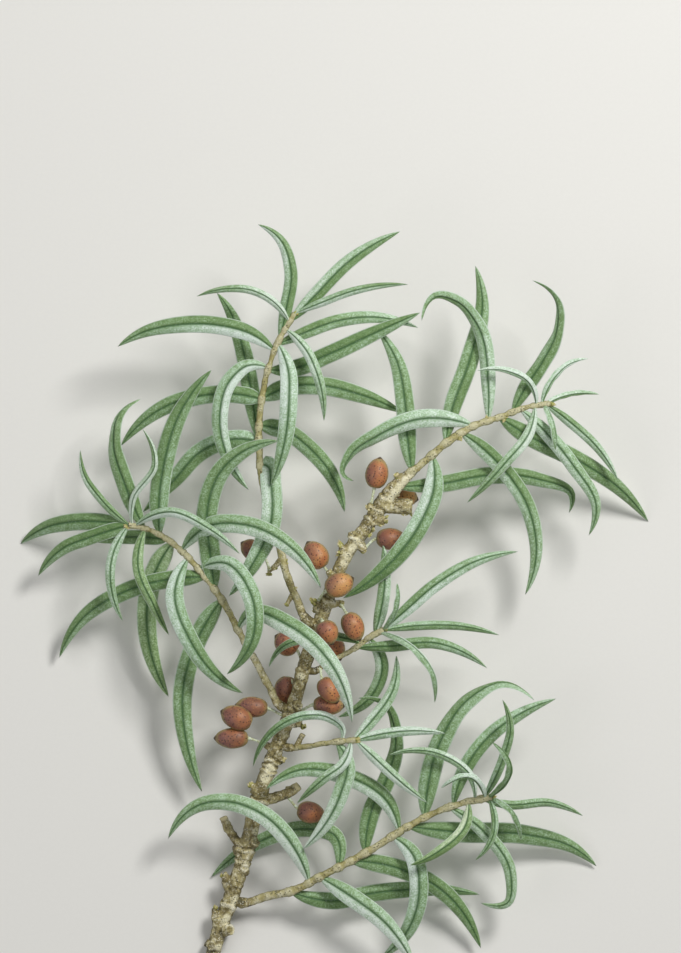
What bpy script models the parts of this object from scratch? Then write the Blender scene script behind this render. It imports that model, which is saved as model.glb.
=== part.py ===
"""A cut sprig of sea buckthorn, lying on a surface: old wood with five leafy shoots, and its berries.

Routes are in pixels of the drawing that the sprig was measured from (x to the right, y down), and
heights are in steps of LAYER above the surface. All other sizes are metres, or millimetres times MM.
"""

import math

import bmesh
import bpy
import numpy as np
from mathutils import Vector

# Driving dimensions
MM = 0.001
PIXEL = 0.3 * MM  # one pixel of the drawing, at the plant's real size
MIDDLE = (334.5, 595.9)  # the pixel that lies over the origin
LAYER = 1.3 * MM  # the step that heights are counted in: two crossing leaves are over one step apart
GAP = 0.3 * MM  # between two nodes that meet
BLADE_THICKNESS = 1.2 * MM
BLADE_CUP = 0.5 * MM  # how far a leaf's edges hang below its midrib
LEAST_BODY = 0.3  # the share of its cup and thickness that a leaf keeps where it is narrow
PETIOLE_WIDTH = 1.5 * MM
WIDEST_AT = 0.4  # the leaf's widest place, as a share of its length
SWELL_POWER = 1.3  # above 1, a leaf fills out more slowly from its stalk
TAPER_START = 2.4  # above 1, it keeps its width for longer before the tip
TAPER_POWER = 0.8  # below 1, its sides close on the tip more bluntly
PETIOLE_FADE = 6  # how soon the stalk's width runs out into the blade
PEDICEL_RADIUS = 0.6 * MM
BERRY_SIDES = 10
BERRY_ROWS = 7
BERRY_NIB = 0.35 * MM  # the dried style that stands out of the berry's far end
POLE = 0.99  # above this height on a sphere of radius 1, a point is its far end
STALK_SINK = 1.2 * MM  # how deep a stalk runs into its berry
STALK_SAG = 0.3 * MM
STALK_EASE = 0.8  # of its radius, kept off the bark for a stalk that meets it at a slant
STALK_TRIES = 101  # places along a stalk's way where its end is tried
STALK_BEVEL = 1  # gives a stalk 6 sides
TWIG_BEVEL = 2  # gives wood 8 sides
WELD = 0.001 * MM
FINE_POINTS = 160  # along a wood's centre line, for finding the place nearest to a leaf or a stalk
SPUR_POINTS = 3
SPUR_FINE = 12
STEM_SECTIONS = 22
CROWN_SECTIONS = 16
LONG_TWIG_SECTIONS = 14
SHORT_TWIG_SECTIONS = 6
LEAST_RINGS = 6
MOST_RINGS = 9
RING_TURN = math.radians(45)  # a leaf gets one more ring for each such turn of its route

# Colours, linear
LEAF_GREEN = (0.13, 0.27, 0.10)
OLD_WOOD = (0.27, 0.20, 0.09)
BERRY_ORANGE = (0.50, 0.13, 0.05)


# Wood: each point is x, y, height, diameter in pixels
MAIN_STEM = [
    (210, 965, 1.7, 14), (218, 935, 2.5, 15), (232, 895, 4.3, 16), (245, 855, 6.8, 16),
    (258, 800, 9.6, 15.5), (274, 755, 12, 15.5), (295, 700, 15, 13.5), (306, 660, 16.8, 14),
    (320, 622, 18.2, 14), (332, 587, 19.2, 14), (345, 557, 20.2, 13), (366, 527, 21.2, 14),
    (386, 498, 22, 16),
]
CROWN_TWIG = [
    (307.5, 620, 18.9, 9), (297, 600, 18.2, 8.5), (287, 575, 17.6, 8), (281, 552, 17.6, 8),
    (272, 520, 18.6, 7.5), (262, 480, 20.3, 7), (259, 450, 21.6, 7), (261, 405, 23, 6.5),
    (266, 378, 24, 6), (274, 352, 25, 5.5), (285, 330, 25.8, 5), (295, 314, 26.2, 4.5),
]
LEFT_TWIG = [
    (281, 706, 15, 8), (270, 688, 15.6, 8), (258, 665, 16.2, 7.5), (247, 646, 16.8, 7),
    (236, 625, 17.3, 7), (219, 595, 17.9, 6.5), (198, 568, 17.5, 6), (175, 545, 16.9, 5.5),
    (155, 532, 16.4, 5), (129, 525, 16, 4.5),
]
RIGHT_TWIG = [
    (390.5, 493, 22.1, 13), (402, 480, 22.4, 9), (425, 461, 22.8, 7.5), (450, 440, 23, 8),
    (476, 425, 22.3, 7), (500, 417, 21.6, 6), (528, 407, 20.7, 5), (550, 404, 20.2, 4.5),
]
SIDE_TWIG = [
    (314, 671, 16.5, 6), (325, 664, 17, 5.5), (352, 650, 18.3, 5), (373, 635, 19.3, 5),
    (384, 630, 19.8, 4.5),
]
MIDDLE_TWIG = [
    (287.5, 747.5, 13, 6), (303, 746.5, 15.5, 6), (318, 744, 18, 5.5), (340, 741, 20.5, 5),
    (356, 740, 21.8, 4.5),
]
LOWER_TWIG = [
    (241.5, 903, 4.2, 9), (265, 897, 5.6, 9), (295, 890, 8, 8.5), (320, 877, 10, 8),
    (345, 864, 11.7, 7.5), (372, 849, 12.6, 7.5), (410, 825, 14, 7), (438, 811, 14.7, 6.5),
    (474, 800, 15.2, 6), (492, 797, 15.4, 5),
]

# Spurs and cut stubs: each point is x, y, height above the wood they grow from, diameter in pixels
MAIN_SPURS = [
    [(214, 948, 0, 8), (205, 943, 0.4, 6)],
    [(221, 926, 0, 8), (213, 909, 1.4, 4)],
    [(224, 931, 0, 8), (232, 929, 0.4, 6)],
    [(234, 890, 0, 8), (224, 873, 1.2, 4)],
    [(246, 852, 0, 8), (231, 833, 1.2, 7), (223, 817, 1.8, 6.5)],
    [(259, 800, 0, 9), (283, 795, 0.6, 8), (299, 785.5, 1.2, 7)],
    [(260, 801, 0, 7), (252, 784, 1.2, 4)],
    [(273, 760, 0, 8), (283, 759, 0.5, 6)],
    [(276, 750, 0, 9), (265, 744, 0.3, 5)],
    [(290, 722, 0, 8), (302, 724, 0.5, 6)],
    [(322, 612, 0, 8), (315, 601, 1.2, 5)],
    [(326, 604, 0, 9), (341, 603, 0.6, 5)],
    [(334, 580, 0, 8), (328, 571, 0.8, 4)],
    [(349, 550, 0, 9), (340, 548, 0.8, 6)],
    [(355, 542, 0, 8), (351, 532, 1, 5)],
    [(357, 541, 0, 9), (364, 551, 0.4, 6)],
    [(378, 510, 0, 9), (367, 506, 0.8, 5)],
    [(373, 519, 0, 9), (385, 521, 0.6, 6)],
    [(381, 506, 0, 13), (399, 506, -0.3, 13), (412, 507, -0.4, 12)],
]
CROWN_SPURS = [
    [(281, 560, 0, 7), (268, 572, -0.6, 4)],
    [(294, 592, 0, 7), (287, 604, 0.2, 5)],
]
RIGHT_SPURS = [
    [(402, 480, 0, 8), (396, 474, 1, 5)],
]
MIDDLE_SPURS = [
    [(296, 747, 0, 6), (303, 734, 1, 5)],
]


def leaf(width, middle, tip, route, roll=(0, 0)):
    """A leaf's width in mm, its heights halfway and at the tip, its route, and its roll at base and tip."""
    return {"width": width * MM, "middle": middle, "tip": tip, "route": route, "roll": roll}


CROWN_LEAVES = [
    leaf(3.9, 27, 26, [(280, 340), (286, 310), (291, 272), (280, 240), (258, 225)]),
    leaf(2.4, 30, 28, [(287, 320), (272, 301), (250, 290.5), (226, 289.5), (197, 297)]),
    leaf(5.1, 19, 21, [(258, 440), (250, 385), (242, 345), (228, 308), (217, 293)]),
    leaf(5.1, 25, 21, [(271, 350), (250, 334), (220, 326), (180, 325), (140, 334), (118, 347)]),
    leaf(4.8, 25, 18, [(266, 368), (248, 366), (230, 381), (220, 415), (229, 460), (249, 490)]),
    leaf(5.1, 20, 14, [(259, 397), (228, 394), (196, 397), (165, 407), (137, 427), (121, 446)]),
    leaf(5.4, 17, 11, [(257, 443), (228, 440), (199, 453), (176, 478), (143, 512)]),
    leaf(6.0, 23.5, 20.5, [(262, 463), (273, 495), (269, 530), (252, 565), (229, 596)]),
    leaf(5.1, 29, 24.5, [(278, 343), (288, 370), (289, 400), (284, 445), (271, 486)]),
    leaf(3.0, 29.5, 27, [(289, 331), (305, 349), (318, 377), (324, 421)]),
    leaf(4.2, 27, 24, [(293, 324), (314, 297), (350, 261), (400, 232)]),
    leaf(2.4, 30, 28, [(299, 316), (322, 303), (350, 292.5), (382, 286), (408, 285)]),
    leaf(3.9, 24, 21.5, [(281, 348), (305, 333), (337, 321.5), (373, 317.5), (418, 328)]),
    leaf(5.1, 25, 25.5, [(270, 370), (297, 368), (328, 355), (380, 331), (420, 313)]),
    leaf(5.4, 21, 17, [(264, 395), (290, 384), (322, 386), (357, 394), (403, 413)]),
    leaf(5.1, 22, 18, [(261, 427), (285, 433), (310, 449), (331, 474), (344.5, 512)]),
]
LEFT_LEAVES = [
    leaf(5.4, 21, 24, [(161, 533), (160, 490), (165, 460), (177, 420), (212, 370)]),
    leaf(5.7, 23.5, 30, [(214, 588), (209, 550), (206, 515), (222, 470), (248, 449), (279, 441)]),
    leaf(2.4, 16, 14, [(127, 524), (100, 498), (84, 474), (80.5, 450)]),
    leaf(4.8, 10, 0, [(129, 525), (103, 522), (73, 522), (45, 528), (20, 544)]),
    leaf(3.9, 13.5, 7, [(131, 527), (90, 537.5), (63, 548.5), (38, 576)]),
    leaf(3.3, 10.5, 5, [(165, 543), (135, 537), (88, 541)]),
    leaf(5.1, 18, 16, [(144, 526), (125, 484), (114, 442), (119, 416), (141, 399)], roll=(0, 50)),
    leaf(2.1, 22, 24, [(132, 523), (133, 500), (155, 465), (143, 429)]),
    leaf(2.9, 24.5, 23, [(136, 523), (170, 512), (208, 528), (240, 554)]),
    leaf(5.4, 27, 25.5, [(182, 551), (207, 527), (251, 526), (291, 547.5), (321, 588)]),
    leaf(2.9, 17, 13, [(121, 532), (111, 564), (114, 600), (123, 621)]),
    leaf(3.3, 16.5, 14, [(143, 535), (138, 565), (154, 606), (169, 635)]),
    leaf(5.1, 8, 5, [(168, 548), (153, 585), (148, 628), (169, 697)]),
    leaf(5.1, 12.5, 3, [(202, 581), (172, 581), (124, 592), (81, 620), (59, 658)]),
    leaf(5.4, 21, 15, [(185, 561), (175, 590), (190, 640), (220, 679), (243, 693)]),
    leaf(5.4, 12, 7, [(219, 601), (199, 636), (183, 690), (188, 750), (202, 792)]),
    leaf(5.4, 28, 22, [(200, 567), (225, 563), (251, 594), (253, 637), (227, 674)]),
    leaf(5.7, 30, 24, [(238, 630), (250, 614), (291, 626.5), (327, 658), (352, 722)]),
]
RIGHT_LEAVES = [
    leaf(5.4, 22, 20, [(411, 471), (407, 435), (405, 405), (396, 360), (377, 329)]),
    leaf(5.4, 27, 24, [(473, 427), (418, 419.5), (375, 437), (351, 454), (343.5, 474), (354, 481)]),
    leaf(5.4, 21, 20, [(443, 441), (451, 412), (469, 361), (482, 300), (475, 266)]),
    leaf(4.5, 24, 26, [(486, 415), (488, 385), (477, 325), (459, 303), (436, 296.5), (421.5, 321)],
         roll=(0, 60)),
    leaf(4.5, 23, 24, [(511, 410), (527, 388), (545, 364), (558, 323), (553, 297), (531, 281)],
         roll=(0, 60)),
    leaf(2.8, 26, 27, [(535, 402), (528, 382), (508, 371.5), (477, 371)], roll=(50, 50)),
    leaf(2.6, 21, 19, [(542, 402), (553, 379), (571, 363), (588, 359)], roll=(-45, -45)),
    leaf(2.4, 18, 15, [(545, 403), (564, 396), (599, 394.5)], roll=(-50, -50)),
    leaf(3.2, 25, 22, [(535.5, 407), (530, 430), (504, 464), (467, 502.5)]),
    leaf(5.4, 14, 0, [(501, 424), (530, 437), (575, 459), (620, 489), (649, 522)]),
    leaf(4.2, 19, 15, [(520, 411), (543, 430), (573, 466), (596, 508), (588.5, 535.5)]),
    leaf(2.4, 23, 22, [(544, 407), (552, 422), (555, 450)], roll=(50, 50)),
    leaf(2.9, 17, 13, [(545, 407), (568, 421), (600, 451), (618, 480)]),
    leaf(4.5, 17, 12, [(466, 441), (501, 467), (528, 508), (536, 555), (525, 595)]),
    leaf(5.1, 16.5, 11, [(400, 490), (441, 484), (490, 475.5), (538, 479.5), (572, 495), (569, 513)]),
    leaf(5.4, 25, 22, [(435, 459), (432, 482), (417, 525), (385, 567), (343, 598)]),
]
SIDE_LEAVES = [
    leaf(3.8, 21.5, 23.3, [(374, 633), (382, 605), (385, 572), (383, 545)]),
    leaf(2.0, 25, 26, [(383, 630), (396, 610), (397, 583)], roll=(-50, -50)),
    leaf(3.9, 22, 18, [(383, 631), (406, 610), (435, 585), (480, 559.5), (518, 551.5)]),
    leaf(2.7, 20, 17, [(386, 631), (428, 625), (460, 626), (499, 635)]),
    leaf(3.5, 21.5, 17, [(358, 650), (388, 646), (436, 643), (487, 668)]),
    leaf(2.6, 26, 22, [(381, 634), (413, 647), (435, 680), (434.5, 702)], roll=(45, 45)),
    leaf(3.9, 16, 10.5, [(371, 642), (382, 665), (375, 690), (338, 717)]),
    leaf(2.7, 21.7, 19.5, [(361, 644), (336, 636), (308, 638), (281, 648), (269, 667)]),
]
MIDDLE_LEAVES = [
    leaf(3.5, 21, 20, [(353, 738), (371, 721), (394, 686), (396, 655)]),
    leaf(2.9, 22.5, 21, [(355, 740), (382, 733.5), (410, 730.5), (445, 733)]),
    leaf(3.0, 20.5, 18, [(356, 740), (375, 758), (407, 787), (427, 802)]),
    leaf(4.8, 20, 14, [(336, 743), (347, 762), (341, 792), (303, 849)]),
    leaf(3.0, 22.5, 18, [(351, 742), (344, 762), (324, 778), (297, 803)]),
    leaf(3.0, 20.5, 14, [(341, 739), (343, 730), (328, 717), (303, 715.5), (267, 737), (253, 767)]),
]
LOWER_LEAVES = [
    leaf(5.1, 14, 17.5, [(364, 849), (371, 812), (387, 778), (396, 740), (385, 705), (358, 698)],
         roll=(0, 45)),
    leaf(5.1, 17, 16, [(397, 829), (388, 803), (346, 776), (297, 770.5), (266, 789)]),
    leaf(5.4, 16, 10, [(307, 881), (297, 853), (262, 814), (231, 802), (199, 805), (168, 839)]),
    leaf(4.5, 5.5, 0.8, [(338, 869), (335, 836), (306, 829), (262, 841), (211, 878)]),
    leaf(4.8, 6.5, 4, [(292, 897), (335, 901), (370, 894), (430, 889.5), (480, 895)]),
    leaf(5.4, 12, 8, [(324, 884), (350, 896), (388, 926), (414, 966)]),
    leaf(5.4, 12.5, 4, [(392, 838), (411, 852), (419, 890), (408, 930), (381, 958)]),
    leaf(5.4, 9, 3, [(352, 865), (400, 869), (441, 890), (481, 949)]),
    leaf(5.7, 8, 1, [(410, 831), (456, 832), (526, 835), (575, 849), (597, 867)]),
    leaf(6.0, 17.5, 20, [(423, 815), (429, 785), (442, 740), (468, 697), (504, 684), (534, 700)],
         roll=(0, 60)),
    leaf(4.5, 17, 16, [(452, 804), (461, 777), (487, 738), (523, 712), (556, 698.5)]),
    leaf(2.7, 22, 24, [(483, 798), (503, 757), (510, 727), (502, 699)]),
    leaf(2.4, 25, 26, [(489, 797), (510, 768), (492, 741.5)], roll=(-40, -40)),
    leaf(2.4, 20, 18, [(474, 799), (471, 777), (440, 754), (388, 755)]),
    leaf(2.2, 23, 21, [(485, 797), (473, 778), (441, 787.5)], roll=(40, 40)),
    leaf(2.7, 15, 11, [(482, 800), (508, 804.5), (552, 803), (583, 816)]),
    leaf(2.0, 15.5, 12, [(490, 799), (509, 808), (521, 840)], roll=(50, 50)),
    leaf(3.3, 18, 17, [(469, 803), (466, 823), (437, 852), (410, 865)]),
    leaf(2.1, 18.5, 17, [(489, 803), (493.5, 833), (475, 860)]),
    leaf(3.8, 13, 9, [(450, 811), (484, 832), (510, 871), (507, 903.5), (480.5, 903)]),
]


def berry(x, y, height, long, wide, apex, foot, wood):
    """A berry's centre, its length and width in mm, its apex's pixel, and where its stalk meets which wood."""
    return {
        "centre": (x, y, height), "long": long * MM, "wide": wide * MM, "apex": apex,
        "foot": foot, "wood": wood,
    }


BERRIES = {
    "berry_top": [berry(377, 473.5, 21.5, 9.3, 6.9, (380, 458), (371, 505), "main_stem")],
    "berry_behind_stub": [berry(404, 496, 15.8, 8.2, 6.3, (415, 499), (404, 507), "main_stem")],
    "berry_below_stub": [berry(391, 539, 17, 9.3, 6.6, (406, 540), (363, 549), "main_stem")],
    "berry_upper_left": [berry(316, 555, 19, 9, 7.2, (308, 543), (329, 573), "main_stem")],
    "berry_front": [berry(339, 584.5, 24.6, 9, 7.2, (353, 578), (317, 602), "main_stem")],
    "berry_crown": [berry(254, 551, 14, 8.7, 6.6, (242, 543), (270, 570), "crown_shoot")],
    "berry_right": [berry(353, 626, 22.5, 9, 6.6, (360, 640), (340, 603), "main_stem")],
    "berry_over_stem": [berry(327, 632, 25.6, 7.5, 6.9, (332, 644), (321, 619), "main_stem")],
    "berry_under_leaf": [berry(334, 648, 14.6, 7.8, 6.6, (339, 657), (310, 648), "main_stem")],
    "berry_left": [berry(287, 643, 14.3, 7.8, 7.5, (276, 636), (303, 664), "main_stem")],
    "berry_behind_stem": [berry(286, 691, 11.3, 9.3, 7.2, (284, 706), (298, 690), "main_stem")],
    "berries_left": [
        berry(252, 707, 14.2, 9.9, 6.3, (236, 706), (288, 718), "main_stem"),
        berry(237, 717.5, 15.6, 9.9, 7.2, (221, 711), None, None),
        berry(232, 738, 14.6, 10.2, 6.3, (216, 738), (268, 745), "main_stem"),
    ],
    "berries_right": [
        berry(329, 690, 18.6, 8.6, 6.3, (337, 702), (320, 667), "side_shoot"),
        berry(328, 705, 16.5, 9.3, 6, (343, 706), (297, 713), "main_stem"),
    ],
    "berry_low": [berry(310, 812.5, 9.5, 8.1, 6.6, (322, 819), (287, 796), "main_stem")],
}


def spot(x, y, height):
    """A pixel of the drawing and a height in layers, as a point in metres."""
    return np.array([(x - MIDDLE[0]) * PIXEL, (MIDDLE[1] - y) * PIXEL, height * LAYER])


def smooth(points, count, per_span=12):
    """A cubic curve through the points, with its own slope at each, cut into evenly spaced points."""
    points = np.array(points, float)
    knots = np.concatenate([[0], np.cumsum(np.linalg.norm(np.diff(points[:, :2], axis=0), axis=1))])
    slopes = np.gradient(points, knots, axis=0, edge_order=2 if len(points) > 2 else 1)
    fine = np.linspace(0, knots[-1], per_span * len(points))
    left = np.clip(np.searchsorted(knots, fine, "right") - 1, 0, len(knots) - 2)
    span = (knots[left + 1] - knots[left])[:, None]
    u = (fine - knots[left])[:, None] / span
    curve = (
        (1 + 2 * u) * (1 - u) ** 2 * points[left]
        + u * (1 - u) ** 2 * span * slopes[left]
        + u**2 * (3 - 2 * u) * points[left + 1]
        + u**2 * (u - 1) * span * slopes[left + 1]
    )
    lengths = np.concatenate([[0], np.cumsum(np.linalg.norm(np.diff(curve, axis=0), axis=1))])
    even = np.linspace(0, lengths[-1], count)
    return np.stack([np.interp(even, lengths, column) for column in curve.T], axis=1)


def nearest(wood, place):
    """The wood's own point closest to a pixel: x, y, height, diameter."""
    line = smooth(wood, FINE_POINTS)
    return line[np.argmin(np.hypot(line[:, 0] - place[0], line[:, 1] - place[1]))]


def new_object(name, mesh):
    made = bpy.data.objects.new(name, mesh)
    bpy.context.scene.collection.objects.link(made)
    return made


def mesh_of(name, bm):
    """The bmesh as a new object, with its faces pointing out."""
    bmesh.ops.recalc_face_normals(bm, faces=bm.faces)
    mesh = bpy.data.meshes.new(name)
    bm.to_mesh(mesh)
    bm.free()
    return new_object(name, mesh)


def tube(name, points, radii, bevel=TWIG_BEVEL):
    """A closed round mesh along the points, made from a bevelled curve."""
    curve = bpy.data.curves.new(name, "CURVE")
    curve.dimensions = "3D"
    curve.bevel_depth = 1.0
    curve.bevel_resolution = bevel
    curve.use_fill_caps = True
    spline = curve.splines.new("POLY")
    spline.points.add(len(points) - 1)
    for target, place, radius in zip(spline.points, points, radii):
        target.co = (*place, 1)
        target.radius = radius
    guide = new_object(name + "_route", curve)
    graph = bpy.context.evaluated_depsgraph_get()
    rough = bpy.data.meshes.new_from_object(guide.evaluated_get(graph))
    bpy.data.objects.remove(guide)
    bpy.data.curves.remove(curve)
    bm = bmesh.new()
    bm.from_mesh(rough)
    bpy.data.meshes.remove(rough)
    bmesh.ops.remove_doubles(bm, verts=bm.verts, dist=WELD)
    return mesh_of(name, bm)


def wood(name, points, count):
    """Round wood through x, y, height and diameter points."""
    line = smooth(points, count)
    return tube(name, [spot(*place) for place in line[:, :3]], line[:, 3] / 2 * PIXEL)


def spur(name, points, parent):
    """A spur or stub, whose heights count from the middle of the wood that it grows from."""
    base = nearest(parent, points[0])[2]
    placed = [(x, y, base + lift, across) for x, y, lift, across in points]
    return wood(name, placed, SPUR_POINTS)


def blade_width(share, width):
    """The width along the leaf: it swells from the stalk, stays nearly even and ends in a point."""
    rise = np.clip(share / WIDEST_AT, 0, 1)
    fall = np.clip((share - WIDEST_AT) / (1 - WIDEST_AT), 0, 1)
    swell = np.sqrt(1 - (1 - rise) ** 2) ** SWELL_POWER
    taper = (1 - fall**TAPER_START) ** TAPER_POWER
    return np.maximum(width * swell * taper, PETIOLE_WIDTH * (1 - share) ** PETIOLE_FADE)


def leaf_path(shape, twig, count):
    """The midrib from the middle of the twig to the tip. Its height is a parabola of the share of the length."""
    root = nearest(twig, shape["route"][0])
    route = smooth([root[:2], *shape["route"][1:]], count)
    share = np.linspace(0, 1, count)[:, None]
    rise, drop = shape["middle"] - root[2], shape["tip"] - root[2]
    height = root[2] + (4 * rise - drop) * share + (2 * drop - 4 * rise) * share**2
    return np.array([spot(*place) for place in np.hstack([route, height])]), share


def ring_count(route):
    """A leaf that turns more has more sections."""
    steps = np.diff(np.array(route, float), axis=0)
    angles = np.unwrap(np.arctan2(steps[:, 1], steps[:, 0]))
    return int(np.clip(LEAST_RINGS + np.abs(np.diff(angles)).sum() / RING_TURN, LEAST_RINGS, MOST_RINGS))


def leaf_sections(shape, twig, count):
    """Left edge, top of midrib, right edge and underside of midrib at each section, and the tip."""
    path, share = leaf_path(shape, twig, count + 1)
    along = np.gradient(path, axis=0)
    along /= np.linalg.norm(along, axis=1)[:, None]
    side = np.cross(along, (0, 0, 1))
    side /= np.linalg.norm(side, axis=1)[:, None]
    up = np.cross(side, along)
    first, last = shape["roll"]
    turn = np.radians(first + (last - first) * share**1.5)
    side, up = side * np.cos(turn) + up * np.sin(turn), up * np.cos(turn) - side * np.sin(turn)
    half = blade_width(share, shape["width"]) / 2
    full = np.minimum(2 * half / shape["width"] + LEAST_BODY, 1)
    edge = path - up * BLADE_CUP * full
    rib = up * BLADE_THICKNESS / 2 * full
    rings = np.stack([edge - side * half, path + rib, edge + side * half, path - rib], axis=1)
    return rings[:-1], path[-1]


def blade(name, shape, twig):
    """A leaf as a loft of four-sided sections to a point. Both faces are split along the same diagonals."""
    rings, tip = leaf_sections(shape, twig, ring_count(shape["route"]))
    bm = bmesh.new()
    rows = [[bm.verts.new(place) for place in ring] for ring in rings]
    point = bm.verts.new(tip)
    for (l0, t0, r0, b0), (l1, t1, r1, b1) in zip(rows, rows[1:]):
        for middle, ahead in ((t0, t1), (b0, b1)):
            bm.faces.new((l0, middle, ahead))
            bm.faces.new((l0, ahead, l1))
            bm.faces.new((r0, middle, ahead))
            bm.faces.new((r0, ahead, r1))
    last = rows[-1]
    for corner, following in zip(last, last[1:] + last[:1]):
        bm.faces.new((corner, following, point))
    bm.faces.new(rows[0])
    return mesh_of(name, bm)


def fuse(name, pieces):
    """One closed solid from pieces that run into each other."""
    body, *others = pieces
    group = bpy.data.collections.new(name + "_pieces")
    for other in others:
        group.objects.link(other)
    union = body.modifiers.new("union", "BOOLEAN")
    union.operation = "UNION"
    union.operand_type = "COLLECTION"
    union.collection = group
    union.solver = "EXACT"
    graph = bpy.context.evaluated_depsgraph_get()
    mesh = bpy.data.meshes.new_from_object(body.evaluated_get(graph))
    mesh.name = name
    for piece in pieces:
        bpy.data.objects.remove(piece)
    bpy.data.collections.remove(group)
    return new_object(name, mesh)


def shoot(name, twig, count, leaves, spurs=()):
    """A leafy shoot: its twig, spurs and leaves in one solid."""
    pieces = [wood(name + "_twig", twig, count)]
    pieces += [spur(f"{name}_spur_{i}", points, twig) for i, points in enumerate(spurs)]
    pieces += [blade(f"{name}_leaf_{i}", shape, twig) for i, shape in enumerate(leaves)]
    return fuse(name, pieces)


def clearance(place, woods):
    """The distance from a point to the bark of the nearest wood."""
    least = math.inf
    for line in woods:
        spots = np.array([spot(*point[:3]) for point in line])
        far = np.linalg.norm(spots - place, axis=1) - line[:, 3] / 2 * PIXEL
        least = min(least, far.min())
    return least


def stalk_end(start, target, woods):
    """The point on the way from start to target where the stalk stops, just clear of the bark."""
    for share in np.linspace(1, 0, STALK_TRIES):
        place = start + (target - start) * share
        if clearance(place, woods) >= GAP + PEDICEL_RADIUS * STALK_EASE:
            return place
    return start


def berry_body(name, shape):
    """An egg-round berry with a small nib, and the end of it that the stalk leaves from."""
    centre = spot(*shape["centre"])
    x, y = shape["apex"]
    axis = Vector(spot(x, y, shape["centre"][2]) - centre).normalized()
    bm = bmesh.new()
    bmesh.ops.create_uvsphere(bm, u_segments=BERRY_SIDES, v_segments=BERRY_ROWS, radius=1)
    turn = axis.to_track_quat("Z", "Y").to_matrix()
    for vert in bm.verts:
        place = Vector(vert.co)
        nib = BERRY_NIB if place.z > POLE else 0
        place = Vector((
            place.x * shape["wide"] / 2, place.y * shape["wide"] / 2, place.z * shape["long"] / 2 + nib,
        ))
        vert.co = turn @ place + Vector(centre)
    return mesh_of(name, bm), centre - np.array(axis) * shape["long"] / 2, np.array(axis)


def bunch(name, berries, woods):
    """Berries that touch, each on its own short stalk, in one solid."""
    pieces = []
    for i, shape in enumerate(berries):
        body, base, axis = berry_body(f"{name}_{i}", shape)
        pieces.append(body)
        if shape["foot"] is None:
            continue
        lines = woods[shape["wood"]]
        x, y = shape["foot"]
        main = lines[0]
        height = main[np.argmin(np.hypot(main[:, 0] - x, main[:, 1] - y))][2]
        end = stalk_end(base, spot(x, y, height), lines)
        route = [base + axis * STALK_SINK, (base + end) / 2 + np.array([0, 0, STALK_SAG]), end]
        pieces.append(tube(f"{name}_stalk_{i}", route, [PEDICEL_RADIUS] * 3, bevel=STALK_BEVEL))
    return fuse(name, pieces)


def bark_lines(points, spurs):
    """The centre lines of a wood and its spurs, finely cut, for measuring clearance."""
    lines = [smooth(points, FINE_POINTS)]
    for side in spurs:
        base = nearest(points, side[0])[2]
        lines.append(smooth([(x, y, base + lift, across) for x, y, lift, across in side], SPUR_FINE))
    return lines


def material(name, colour, roughness):
    made = bpy.data.materials.new(name)
    made.use_nodes = True
    shader = made.node_tree.nodes["Principled BSDF"]
    shader.inputs["Base Color"].default_value = (*colour, 1)
    shader.inputs["Roughness"].default_value = roughness
    return made


def main():
    for item in list(bpy.data.objects):
        bpy.data.objects.remove(item)
    leaf_green = material("leaf", LEAF_GREEN, 0.55)
    bark = material("bark", OLD_WOOD, 0.8)
    skin = material("berry", BERRY_ORANGE, 0.4)
    stem = [wood("main_stem_wood", MAIN_STEM, STEM_SECTIONS)]
    stem += [spur(f"main_spur_{i}", points, MAIN_STEM) for i, points in enumerate(MAIN_SPURS)]
    made = [(fuse("main_stem", stem), bark)]
    made += [
        (shoot("crown_shoot", CROWN_TWIG, CROWN_SECTIONS, CROWN_LEAVES, CROWN_SPURS), leaf_green),
        (shoot("left_shoot", LEFT_TWIG, LONG_TWIG_SECTIONS, LEFT_LEAVES), leaf_green),
        (shoot("right_shoot", RIGHT_TWIG, LONG_TWIG_SECTIONS, RIGHT_LEAVES, RIGHT_SPURS), leaf_green),
        (shoot("side_shoot", SIDE_TWIG, SHORT_TWIG_SECTIONS, SIDE_LEAVES), leaf_green),
        (shoot("middle_shoot", MIDDLE_TWIG, SHORT_TWIG_SECTIONS, MIDDLE_LEAVES, MIDDLE_SPURS), leaf_green),
        (shoot("lower_shoot", LOWER_TWIG, LONG_TWIG_SECTIONS, LOWER_LEAVES), leaf_green),
    ]
    woods = {
        "main_stem": bark_lines(MAIN_STEM, MAIN_SPURS),
        "crown_shoot": bark_lines(CROWN_TWIG, CROWN_SPURS),
        "side_shoot": bark_lines(SIDE_TWIG, []),
    }
    made += [(bunch(name, berries, woods), skin) for name, berries in BERRIES.items()]
    sprig = bpy.data.collections.new("sea_buckthorn_sprig")
    bpy.context.scene.collection.children.link(sprig)
    for node, finish in made:
        node.data.materials.clear()
        node.data.materials.append(finish)
        bpy.context.scene.collection.objects.unlink(node)
        sprig.objects.link(node)


main()
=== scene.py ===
"""Dresses the sea buckthorn sprig: leaves with their midribs and silvery scales, barked wood, and berries.

Routes repeat the part's own tables, in pixels of the drawing (x to the right, y down), and heights are
in steps of LAYER above the floor. Every other size is in metres, or in millimetres times MM.
"""

import itertools
import math

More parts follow.
